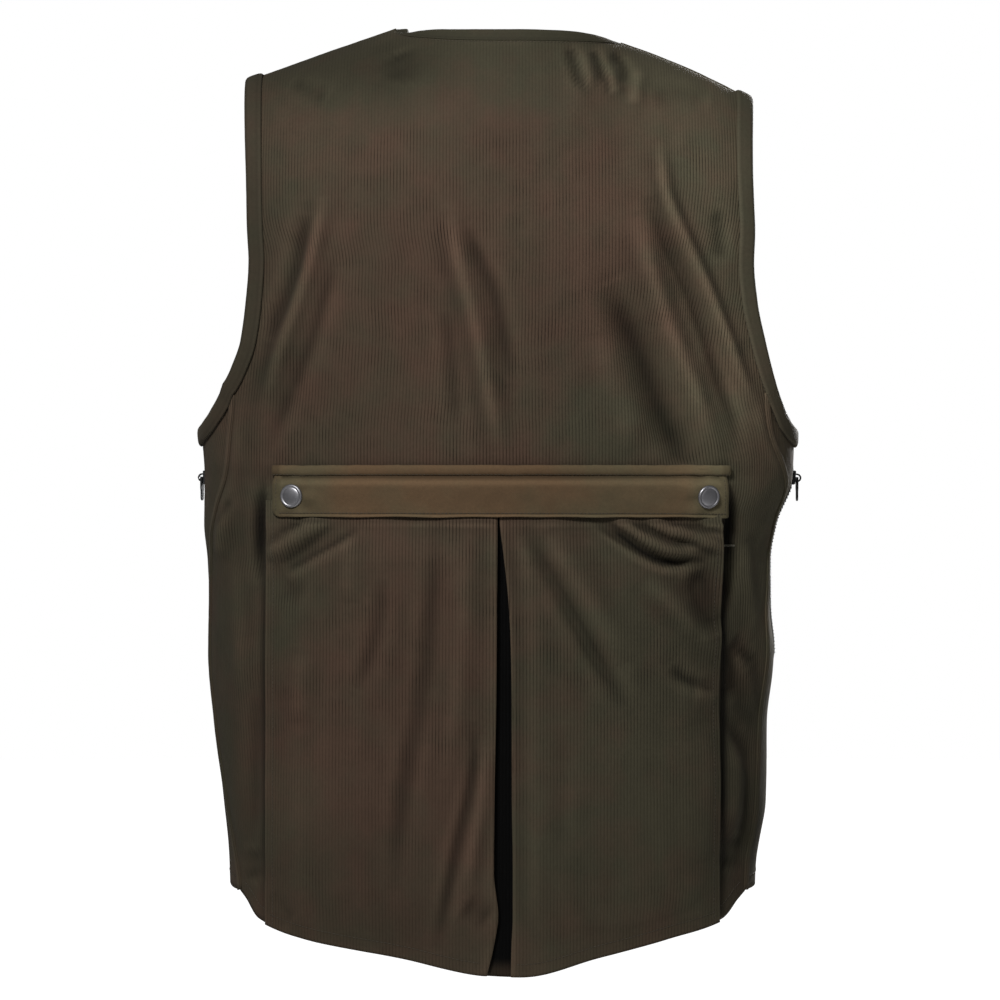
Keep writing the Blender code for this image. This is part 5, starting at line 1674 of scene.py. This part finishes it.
def welt_place(x, share, raise_by=0.0):
    """A place on the welt, from 0 at its top seam to 1 at its lower one."""
    wobble = 0.0005 * noise.noise(Vector((x / 0.022, 0.0, 12.0)))
    wobble += 0.0003 * noise.noise(Vector((x / 0.006, 0.0, 3.0)))
    bend = math.pi * share
    lift = 0.0007 + 0.0034 * math.sin(bend) ** 0.7
    z = mix(WELT_TOP, WELT_LOW, (1 - math.cos(bend)) / 2) + wobble
    return on_back(x, z, lift + raise_by)


left, right = FLAP_LEFT - 0.0012, FLAP_RIGHT + 0.0026
xs = [mix(left, right, k / FLAP_COLUMNS) for k in range(FLAP_COLUMNS + 1)]
shares = [i / WELT_LINES for i in range(WELT_LINES + 1)]
rows = [[welt_place(x, share) for x in xs] for share in shares]
flat = [[(across_back(x), WELT_FLAT * share) for x in xs] for share in shares]
cloth("welt_cloth", rows, flat, 0.0007, INWARD, TAN, ["pocket_welt"], reach=0.0010)

# %% [markdown]
# ## Felled seams
# Side and shoulder seams are felled: one edge is folded round the other and sewn flat twice.
# That leaves a low ridge, six millimetres wide, which the photograph shows running down
# each side. We sweep a flat arch along the line where two panels meet.

# %% Side and shoulder seams
FELLED_ARCH = (
    Arch(-0.50, 0.00002),
    Arch(-0.46, 0.00085),
    Arch(-0.36, 0.00135),
    Arch(-0.20, 0.00145),
    Arch(0.00, 0.00150),
    Arch(0.20, 0.00145),
    Arch(0.36, 0.00135),
    Arch(0.46, 0.00085),
    Arch(0.50, 0.00002),
)
FELLED = 0.0062

SEAM_LINES = {}
for side in (-1, 1):
    column = len(BACK[0]) - 1 if side > 0 else 0
    stations = []
    for i in range(BODY_ROWS + 1):
        place = (BACK[i][column] + FRONTS[side][i][-1]) / 2
        stations.append(Station(place, BACK[i][column - side * 3] - BACK[i][column]))
    SEAM_LINES["side_" + side_name(side)] = stations
    stations = []
    for k in range(SHOULDER_COLUMNS + 1):
        j = MIDDLE + side * (NECK_COLUMNS + k)
        stations.append(Station(BACK[-1][j], BACK[-2][j] - BACK[-1][j]))
    SEAM_LINES["shoulder_" + side_name(side)] = stations

for label, stations in SEAM_LINES.items():
    rows, flat = even_strip(stations, FELLED, False, FELLED_ARCH)
    cloth("felled_" + label, rows, flat, 0.0005, INWARD, RIBBED, [], reach=0.0008)

# %% [markdown]
# ## Snaps
# Each snap is a stamped metal cap, eighteen millimetres across: a shallow dome inside a
# raised ring. It is turned, so one half of its section, spun round an axis, gives all of it.
# The solid's cap has few steps, and this one has enough for a clean rim.

# %% Snap caps
SNAP_RADIUS = 0.0090
SNAP_HEIGHT = 0.0028
SNAP_STEPS = 56
SNAP_LIFT = 0.0008  # off the middle of the flap's wall, so that the rim rests on its face
UP = Vector((0.0, 0.0, 1.0))
SnapRing = namedtuple("SnapRing", "radius height")
SNAP_PROFILE = (
    SnapRing(0.0, 0.93),
    SnapRing(0.20, 0.925),
    SnapRing(0.45, 0.88),
    SnapRing(0.62, 0.80),
    SnapRing(0.70, 0.70),
    SnapRing(0.735, 0.63),
    SnapRing(0.77, 0.66),
    SnapRing(0.81, 0.80),
    SnapRing(0.86, 0.86),
    SnapRing(0.92, 0.80),
    SnapRing(0.97, 0.60),
    SnapRing(1.0, 0.36),
    SnapRing(0.99, 0.12),
    SnapRing(0.93, 0.0),
    SnapRing(0.0, 0.0),
)


def standing_frame(place, normal, up):
    """A matrix whose Y points out of the cloth and whose Z runs up along it."""
    out = normal.normalized()
    right = out.cross(up).normalized()
    rise = right.cross(out).normalized()
    return Matrix.Translation(place) @ Matrix((right, out, rise)).transposed().to_4x4()


def finish_piece(name, mesh, material, nodes=()):
    mesh.materials.clear()
    mesh.materials.append(material)
    piece = linked(name, mesh)
    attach(piece, "vest")
    if nodes:
        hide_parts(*nodes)
    print(name, len(mesh.polygons), "faces")
    return piece


for x, label in zip(SNAP_X, ("left", "right")):
    work = bmesh.new()
    section = [(at.radius * SNAP_RADIUS, 0.0, at.height * SNAP_HEIGHT) for at in SNAP_PROFILE]
    places = [work.verts.new(place) for place in section]
    edges = [work.edges.new(pair) for pair in zip(places, places[1:])]
    bmesh.ops.spin(
        work, geom=places + edges, axis=(0, 0, 1), cent=(0, 0, 0),
        angle=2 * math.pi, steps=SNAP_STEPS, use_merge=True,
    )
    bmesh.ops.remove_doubles(work, verts=work.verts, dist=0.00001)
    bmesh.ops.recalc_face_normals(work, faces=work.faces)
    out = back_normal(x, SNAP_Z)
    turn = standing_frame(flap_place(x, SNAP_Z, SNAP_LIFT), out, UP)
    work.transform(turn @ Matrix.Rotation(math.radians(-90), 4, "X"))
    mesh = bpy.data.meshes.new("snap_" + label)
    work.to_mesh(mesh)
    work.free()
    mesh.shade_smooth()
    finish_piece("snap_" + label, mesh, GUNMETAL, nodes=["snap_cap_" + label])

# %% [markdown]
# ## A row of things along a line
# Stitches and zip teeth are one small shape repeated along a line, so Geometry Nodes lay
# them. The line is a chain of places, and each place knows which way is out of the cloth.
# The tree parts the line evenly, puts the shape at each part, turns it along the line and
# out of the cloth, and rocks it a little at random. Every second one can be turned round,
# which is how the two halves of a zip mesh. Last it makes real faces, for the export keeps
# no instances.

# %% The tree
def row_tree():
    tree = bpy.data.node_groups.new("row_along_line", "GeometryNodeTree")
    face = tree.interface
    face.new_socket("Geometry", in_out="INPUT", socket_type="NodeSocketGeometry")
    for label, kind in (
        ("Shape", "NodeSocketObject"),
        ("Spacing", "NodeSocketFloat"),
        ("Rock", "NodeSocketFloat"),
        ("Alternate", "NodeSocketFloat"),
        ("Seed", "NodeSocketInt"),
        ("Finish", "NodeSocketMaterial"),
    ):
        face.new_socket(label, in_out="INPUT", socket_type=kind)
    face.new_socket("Geometry", in_out="OUTPUT", socket_type="NodeSocketGeometry")
    start = tree.nodes.new("NodeGroupInput")
    end = tree.nodes.new("NodeGroupOutput")
    link = tree.links.new

    line = tree.nodes.new("GeometryNodeMeshToCurve")
    link(start.outputs["Geometry"], line.inputs["Mesh"])
    parts = tree.nodes.new("GeometryNodeResampleCurve")
    parts.mode = "LENGTH"
    link(line.outputs["Curve"], parts.inputs["Curve"])
    link(start.outputs["Spacing"], parts.inputs["Length"])

    shape = tree.nodes.new("GeometryNodeObjectInfo")
    link(start.outputs["Shape"], shape.inputs["Object"])
    shape.inputs["As Instance"].default_value = True
    place = tree.nodes.new("GeometryNodeInstanceOnPoints")
    link(parts.outputs["Curve"], place.inputs["Points"])
    link(shape.outputs["Geometry"], place.inputs["Instance"])

    along = tree.nodes.new("FunctionNodeAlignRotationToVector")
    along.axis = "X"
    link(tree.nodes.new("GeometryNodeInputTangent").outputs["Tangent"], along.inputs["Vector"])
    out = tree.nodes.new("GeometryNodeInputNamedAttribute")
    out.data_type = "FLOAT_VECTOR"
    out.inputs["Name"].default_value = "out"
    upright = tree.nodes.new("FunctionNodeAlignRotationToVector")
    upright.axis = "Z"
    upright.pivot_axis = "X"
    link(along.outputs["Rotation"], upright.inputs["Rotation"])
    link(out.outputs["Attribute"], upright.inputs["Vector"])

    rock = tree.nodes.new("FunctionNodeRandomValue")
    rock.data_type = "FLOAT"
    link(sums(tree, "MULTIPLY", start.outputs["Rock"], -1.0), rock.inputs[2])
    link(start.outputs["Rock"], rock.inputs[3])
    link(start.outputs["Seed"], rock.inputs["Seed"])
    index = tree.nodes.new("GeometryNodeInputIndex").outputs[0]
    round_about = sums(tree, "MULTIPLY", sums(tree, "MODULO", index, 2.0), start.outputs["Alternate"])
    angle = sums(tree, "ADD", rock.outputs[1], round_about)
    turned = tree.nodes.new("FunctionNodeAxisAngleToRotation")
    turned.inputs["Axis"].default_value = (0.0, 0.0, 1.0)
    link(angle, turned.inputs["Angle"])
    rotate = tree.nodes.new("FunctionNodeRotateRotation")
    rotate.rotation_space = "LOCAL"
    link(upright.outputs["Rotation"], rotate.inputs["Rotation"])
    link(turned.outputs["Rotation"], rotate.inputs["Rotate By"])
    link(rotate.outputs["Rotation"], place.inputs["Rotation"])

    real = tree.nodes.new("GeometryNodeRealizeInstances")
    finish = tree.nodes.new("GeometryNodeSetMaterial")
    link(place.outputs["Instances"], real.inputs["Geometry"])
    link(real.outputs["Geometry"], finish.inputs["Geometry"])
    link(start.outputs["Finish"], finish.inputs["Material"])
    link(finish.outputs["Geometry"], end.inputs["Geometry"])
    return tree


ROW_TREE = row_tree()
SOCKETS = {
    item.name: item.identifier for item in ROW_TREE.interface.items_tree if item.in_out == "INPUT"
}
print("tree", len(ROW_TREE.nodes), "nodes")


# %% Laying a row
def lay(name, lines, shape, spacing, material, seed, rock=0.0, alternate=0.0, nodes=()):
    """Makes one mesh of shapes along lines, each a list of pairs of a place and its out."""
    places, outs, edges = [], [], []
    for line in lines:
        edges += [(len(places) + k, len(places) + k + 1) for k in range(len(line) - 1)]
        places += [tuple(place) for place, out in line]
        outs += [value for place, out in line for value in out]
    mesh = bpy.data.meshes.new(name + "_line")
    mesh.from_pydata(places, edges, [])
    mesh.attributes.new("out", "FLOAT_VECTOR", "POINT").data.foreach_set("vector", outs)
    holder = linked(name + "_line", mesh)
    modifier = holder.modifiers.new("row", "NODES")
    modifier.node_group = ROW_TREE
    values = {
        "Shape": shape, "Spacing": spacing, "Rock": rock,
        "Alternate": alternate, "Seed": seed, "Finish": material,
    }
    for label, value in values.items():
        modifier[SOCKETS[label]] = value
    holder.update_tag()
    bpy.context.view_layer.update()
    evaluated = holder.evaluated_get(bpy.context.evaluated_depsgraph_get())
    made = bpy.data.meshes.new_from_object(evaluated)
    made.name = name
    bpy.data.objects.remove(holder)
    made.shade_smooth()
    return finish_piece(name, made, material, nodes)


SHAPES = []


def lofted(name, rings):
    """The small shape that a row repeats: a closed bar through rings of places."""
    count = len(rings[0])
    faces = []
    for start in range(0, count * (len(rings) - 1), count):
        for k in range(count):
            a, b = start + k, start + (k + 1) % count
            faces.append((a, b, b + count, a + count))
    last = count * (len(rings) - 1)
    faces += [tuple(range(count - 1, -1, -1)), tuple(range(last, last + count))]
    mesh = bpy.data.meshes.new(name)
    mesh.from_pydata([place for ring in rings for place in ring], [], faces)
    work = bmesh.new()
    work.from_mesh(mesh)
    bmesh.ops.recalc_face_normals(work, faces=work.faces)
    work.to_mesh(mesh)
    work.free()
    thing = linked(name, mesh)
    thing.hide_render = True
    SHAPES.append(thing)
    return thing


# %% [markdown]
# ## Stitches
# A topstitch is a short length of thread that rises from the cloth and dives back into it.
# Seen from a step away only its rhythm shows, about eight to the inch, so each stitch is a
# five-sided bar, thick in the middle. The lines run beside each binding, along both sides of
# each felled seam, round the flap, down the pocket's sides and along the hems.

# %% One stitch
STITCH = 0.0031
StitchRing = namedtuple("StitchRing", "along radius rise")
STITCH_RINGS = (
    StitchRing(-0.42, 0.00012, -0.00016),
    StitchRing(-0.30, 0.00020, 0.00004),
    StitchRing(0.0, 0.00023, 0.00010),
    StitchRing(0.30, 0.00020, 0.00004),
    StitchRing(0.42, 0.00012, -0.00016),
)
STITCH_SIDES = 5
STITCH_LIFT = 0.0001
STITCH_ROCK = 0.05


def thread_bar(name, length, thick=1.0):
    rings = []
    for ring in STITCH_RINGS:
        radius = ring.radius * thick
        turns = [2 * math.pi * k / STITCH_SIDES for k in range(STITCH_SIDES)]
        rings.append(
            [(ring.along * length, radius * math.cos(t), ring.rise + radius * math.sin(t)) for t in turns]
        )
    return lofted(name, rings)


STITCH_SHAPE = thread_bar("stitch_shape", STITCH)


def sew(name, lines, seed, shape=STITCH_SHAPE, spacing=STITCH):
    lay(name, lines, shape, spacing, THREAD, seed, rock=STITCH_ROCK)


def beside_edge(stations, distance, ring, *trees):
    """A line on the panels, a little way in from their edge."""
    rows, flat = even_strip(stations, 1.0, ring, (Arch(-distance, 0.0),))
    places = [row[0] for row in rows]
    if ring:
        places.append(places[0])
    line = []
    for place in places:
        near, normal = min((tree.find_nearest(place) for tree in trees), key=lambda hit: hit[3])[:2]
        normal = outward(normal, near)
        line.append((near + normal * STITCH_LIFT, normal))
    return line


# %% Stitches round neck, armholes and hems
FROM_BINDING = 0.0022
HEM = 0.0100
FROM_ZIP = (0.0024, 0.0085)


def hem_stations(grid, spare):
    """A panel's hem from near one end to near the other."""
    lowest, inside = grid[0][3:-spare], grid[2][3:-spare]
    return [edge_station(place, inner) for place, inner in zip(lowest, inside)]


edge_lines = []
for side in (-1, 1):
    edge_lines.append(
        beside_edge(armhole_stations(side), FROM_BINDING, True, BACK_TREE, FRONT_TREES[side])
    )
edge_lines.append(
    beside_edge(neck_stations(), FROM_BINDING, False, BACK_TREE, *FRONT_TREES.values())
)
edge_lines.append(beside_edge(hem_stations(BACK, 3), HEM, False, BACK_TREE))
for side in (-1, 1):
    edge_lines.append(beside_edge(hem_stations(FRONTS[side], 2), HEM, False, FRONT_TREES[side]))
    zip_edge = [edge_station(row[0], row[3]) for row in FRONTS[side][1 : BODY_ROWS + V_ROW - 2]]
    for distance in FROM_ZIP:
        edge_lines.append(beside_edge(zip_edge, distance, False, FRONT_TREES[side]))
sew("stitches_edges", edge_lines, seed=3)

# %% Stitches on seams
SEAM_STITCH = 0.0024  # from the middle of a felled seam
SEAM_FACE = 0.00086
LITTLE = 0.001  # between two places that show the way out of the cloth

seam_lines = []
for stations in SEAM_LINES.values():
    for across in (-SEAM_STITCH, SEAM_STITCH):
        posts = (Arch(across, SEAM_FACE), Arch(across, SEAM_FACE + LITTLE))
        rows, flat = even_strip(stations, 1.0, False, posts)
        seam_lines.append([(foot, (head - foot).normalized()) for foot, head in rows[2:-1]])
sew("stitches_seams", seam_lines, seed=5)

# %% Stitches on flap, welt and pocket
def row_on(place_at, count):
    """A line through places worked out one by one, each with a second one lifted off it."""
    line = []
    for k in range(count + 1):
        low, high = place_at(k / count, 0.0), place_at(k / count, LITTLE)
        line.append((low, (high - low).normalized()))
    return line


def straight_row(place_at, start, end, lift, count):
    """A line between two pairs of the numbers that place_at takes before a lift."""

    def along(share, more):
        return place_at(mix(start[0], end[0], share), mix(start[1], end[1], share), lift + more)

    return row_on(along, count)


FLAP_STITCH = STITCH * 0.9
FLAP_FACE = 0.00072
WELT_FACE = 0.00008
POCKET_FACE = 0.0006
hem_left, hem_right = FLAP_LEFT + 0.0060, FLAP_RIGHT - 0.0030
side_left, side_right = FLAP_LEFT + 0.0026, FLAP_RIGHT - 0.0026
top, low = FLAP_TOP - 0.004, FLAP_LOW + 0.003
flap_lines = [
    straight_row(flap_place, (hem_left, low), (hem_right, low), FLAP_FACE, 160),
    straight_row(flap_place, (side_right, top), (side_right, low), FLAP_FACE, 12),
    straight_row(flap_place, (side_left, top), (side_left, FLAP_LOW + 0.006), FLAP_FACE, 12),
    straight_row(welt_place, (FLAP_LEFT, 0.80), (FLAP_RIGHT, 0.80), WELT_FACE, 200),
]
flap_shape = thread_bar("flap_stitch_shape", FLAP_STITCH)
sew("stitches_flap", flap_lines, seed=7, shape=flap_shape, spacing=FLAP_STITCH)

pocket_lines = []
for x in (POCKET_LEFT + 0.0062, POCKET_RIGHT - 0.0050):
    start, end = (x, -0.386), (x, back_hem(x) + 0.004)
    pocket_lines.append(straight_row(on_pocket, start, end, POCKET_FACE, 90))


def above_hem(x, height, lift):
    return on_pocket(x, back_hem(x) + height, lift)


for left, right in ((POCKET_LEFT + 0.005, -0.014), (0.016, POCKET_RIGHT - 0.005)):
    pocket_lines.append(straight_row(above_hem, (left, HEM), (right, HEM), POCKET_FACE, 70))
sew("stitches_pocket", pocket_lines, seed=9)

# %% [markdown]
# ## Bar tack
# Where the pocket's right edge leaves the flap, a short pale tack takes the strain. It is a
# row of close stitches that lie across it.

# %% Bar tack
TACK_START = (0.1752, -0.4030)
TACK_END = (0.1818, -0.4030)
TACK_SPACING = 0.00055

tack = [straight_row(on_back, TACK_START, TACK_END, 0.0004, 4)]
tack_shape = thread_bar("tack_shape", 0.0022, thick=1.3)
tack_shape.data.transform(Matrix.Rotation(math.radians(90), 4, "Z"))
lay("bar_tack_right", tack, tack_shape, TACK_SPACING, PALE_THREAD, seed=11, rock=0.10)

# %% [markdown]
# ## Zips
# Each zip is a pair of woven tapes with moulded teeth that meet in the middle. A tooth is a
# small block with a rounded head. One row of them, every second one turned round, gives the
# meshed chain. The sliders and pull tabs are the frame's own, because they are hard and the
# tabs swing, and they get black paint with a little wear.

# %% Tapes
TAPE_WALL = 0.0006
SIDE_TAPE_HALF = 0.0100
SIDE_TAPE_ROWS = 40
SIDE_TAPE_LIFT = 0.0010
TAPE_HALF = 0.0160
UNDER_FRONTS = -(PANEL_WALL + 0.0004)  # the front zip's tapes are sewn on from inside


def on_front(side, angle, z, lift):
    return drape(FRONT_TREES[side], ring_point(angle, z), ring_normal(angle, z), lift)


def along_ring(angle, z, distance, side):
    """The angle at a distance further round to the front."""
    left, way = abs(distance), math.copysign(NEAR_ANGLE, distance)
    while True:
        length = (ring_point(side * (angle + way), z) - ring_point(side * angle, z)).length
        if length >= left:
            return angle + way * left / length
        left -= length
        angle += way


def beside_side_zip(side, distance, z, lift):
    """A place beside the middle of a side zip."""
    return on_front(side, side * along_ring(pick(SIDE_ZIP_ANGLE, side), z, distance, side), z, lift)


def tape(name, node, levels, spots, place_at):
    """A tape from its heights and from the distances across it."""
    rows = [[place_at(spot, z) for spot in spots] for z in levels]
    flat = [[(spot, z) for spot in spots] for z in levels]
    cloth(name, rows, flat, TAPE_WALL, INWARD, TAPE, [node])


FRONT_LEVELS = [row[0].z for row in FRONTS[1][: BODY_ROWS + V_ROW + 1]]
front_spots = [mix(0.0001, TAPE_HALF, k / 12) for k in range(13)]
side_levels = [mix(SIDE_ZIP_LOW, SIDE_ZIP_TOP, i / SIDE_TAPE_ROWS) for i in range(SIDE_TAPE_ROWS + 1)]
side_spots = [SIDE_TAPE_HALF * k / 7 for k in range(-7, 8)]
for side in (-1, 1):
    name = "front_" + side_name(side)
    tape(
        "tape_" + name, "zip_tape_" + name, FRONT_LEVELS, front_spots,
        lambda x, z: on_front(side, angle_of(side * x, z, False), z, UNDER_FRONTS),
    )
for side in (-1, 1):
    name = side_name(side)
    tape(
        "tape_side_" + name, "zip_tape_" + name, side_levels, side_spots,
        lambda x, z: beside_side_zip(side, x, z, SIDE_TAPE_LIFT),
    )

# %% One tooth
ToothRing = namedtuple("ToothRing", "across half_along top")
TOOTH_RINGS = (
    ToothRing(0.0026, 0.00055, 0.0012),
    ToothRing(0.0021, 0.00068, 0.0017),
    ToothRing(0.0010, 0.00060, 0.0018),
    ToothRing(0.0002, 0.00042, 0.0016),
    ToothRing(-0.0006, 0.00060, 0.0015),
    ToothRing(-0.0010, 0.00040, 0.0012),
)
TOOTH_SPACING = 0.00140
TOOTH_SHOULDER = 0.8  # share of a tooth's height, where its top starts to round
TOOTH_TOP = 0.7  # share of its length that is flat on top


def tooth_section(ring):
    half, top = ring.half_along, ring.top
    flat, shoulder = half * TOOTH_TOP, top * TOOTH_SHOULDER
    section = ((-half, 0.0), (half, 0.0), (half, shoulder), (flat, top), (-flat, top), (-half, shoulder))
    return [(along, ring.across, height) for along, height in section]


# a block across the chain, from its foot to its rounded head past the middle
TOOTH_SHAPE = lofted("tooth_shape", [tooth_section(ring) for ring in TOOTH_RINGS])

# %% Chains
FRONT_CHAIN_TOP = 0.0190  # room for the slider below the top of the tapes
FRONT_CHAIN_LOW = 0.0020
SIDE_CHAIN_TOP = 0.0155
SIDE_CHAIN_LOW = 0.0040
TAPE_EDGE_X = 0.0068


def chain(name, node, line, seed):
    """Teeth along a line, every second one turned half round."""
    lay(name, [line], TOOTH_SHAPE, TOOTH_SPACING, TEETH, seed, alternate=math.pi, nodes=[node])


def between_fronts(z):
    """The middle of the gap between the two fronts, level with the tapes in it."""
    right = on_front(1, angle_of(TAPE_EDGE_X, z, False), z, 0.0)
    left = on_front(-1, angle_of(-TAPE_EDGE_X, z, False), z, 0.0)
    out = ring_normal(180.0, z)
    return right * 0.5 + left * 0.5 + out * UNDER_FRONTS, out


low, top = FRONT_LEVELS[0] + FRONT_CHAIN_LOW, FRONT_LEVELS[-1] - FRONT_CHAIN_TOP
line = [between_fronts(mix(low, top, k / 90)) for k in range(91)]
chain("teeth_front", "zip_chain_front", line, seed=13)

low, top = SIDE_ZIP_LOW + SIDE_CHAIN_LOW, SIDE_ZIP_TOP - SIDE_CHAIN_TOP
heights = [mix(low, top, k / 40) for k in range(41)]
for side in (-1, 1):
    angle = side * pick(SIDE_ZIP_ANGLE, side)
    line = [(on_front(side, angle, z, SIDE_TAPE_LIFT), ring_normal(angle, z)) for z in heights]
    chain("teeth_" + side_name(side), "zip_chain_" + side_name(side), line, seed=15)

# %% Stitches on the side zips
TAPE_STITCH = 0.0082  # from the middle of the tape
TAPE_FACE = SIDE_TAPE_LIFT + 0.00005

zip_lines = []
low, top = SIDE_ZIP_LOW + 0.003, SIDE_ZIP_TOP - 0.003
for side in (-1, 1):
    for across in (-TAPE_STITCH, TAPE_STITCH):
        place_at = functools.partial(beside_side_zip, side)
        zip_lines.append(straight_row(place_at, (across, low), (across, top), TAPE_FACE, 40))
sew("stitches_side_zips", zip_lines, seed=17)

# %% Sliders and tabs
for name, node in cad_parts.items():
    if not node.hide_render:
        node.data.materials.clear()
        node.data.materials.append(BLACK_PAINT)
        print("painted", name)

for thing in SHAPES:
    bpy.data.objects.remove(thing)

# %% [markdown]
# ## Flat sizes
# Cloth hardly stretches, so each piece's flat size is printed: the width and length of its map
# and its area. A cut piece's area is that of the shell before it got its thickness. The
# rectangle that a cutter would take from the roll for it is worked out too, but not printed.

# %% Flat sizes
LEAST_STRIP = 0.01
SPARE = 1.002  # a rectangle holds a little more than the piece cut from it

for piece, area in CLOTH:
    spots = [spot.uv for spot in piece.data.uv_layers["cloth"].data]
    width, length = (max(spot[k] for spot in spots) - min(spot[k] for spot in spots) for k in (0, 1))
    grow = max(1.0, math.sqrt(area / (width * length)) * SPARE)
    flat = (max(width * grow, LEAST_STRIP), max(length * grow, LEAST_STRIP))
    print(piece.name, round(width, 3), "x", round(length, 3), "m,", round(area, 4), "m2")
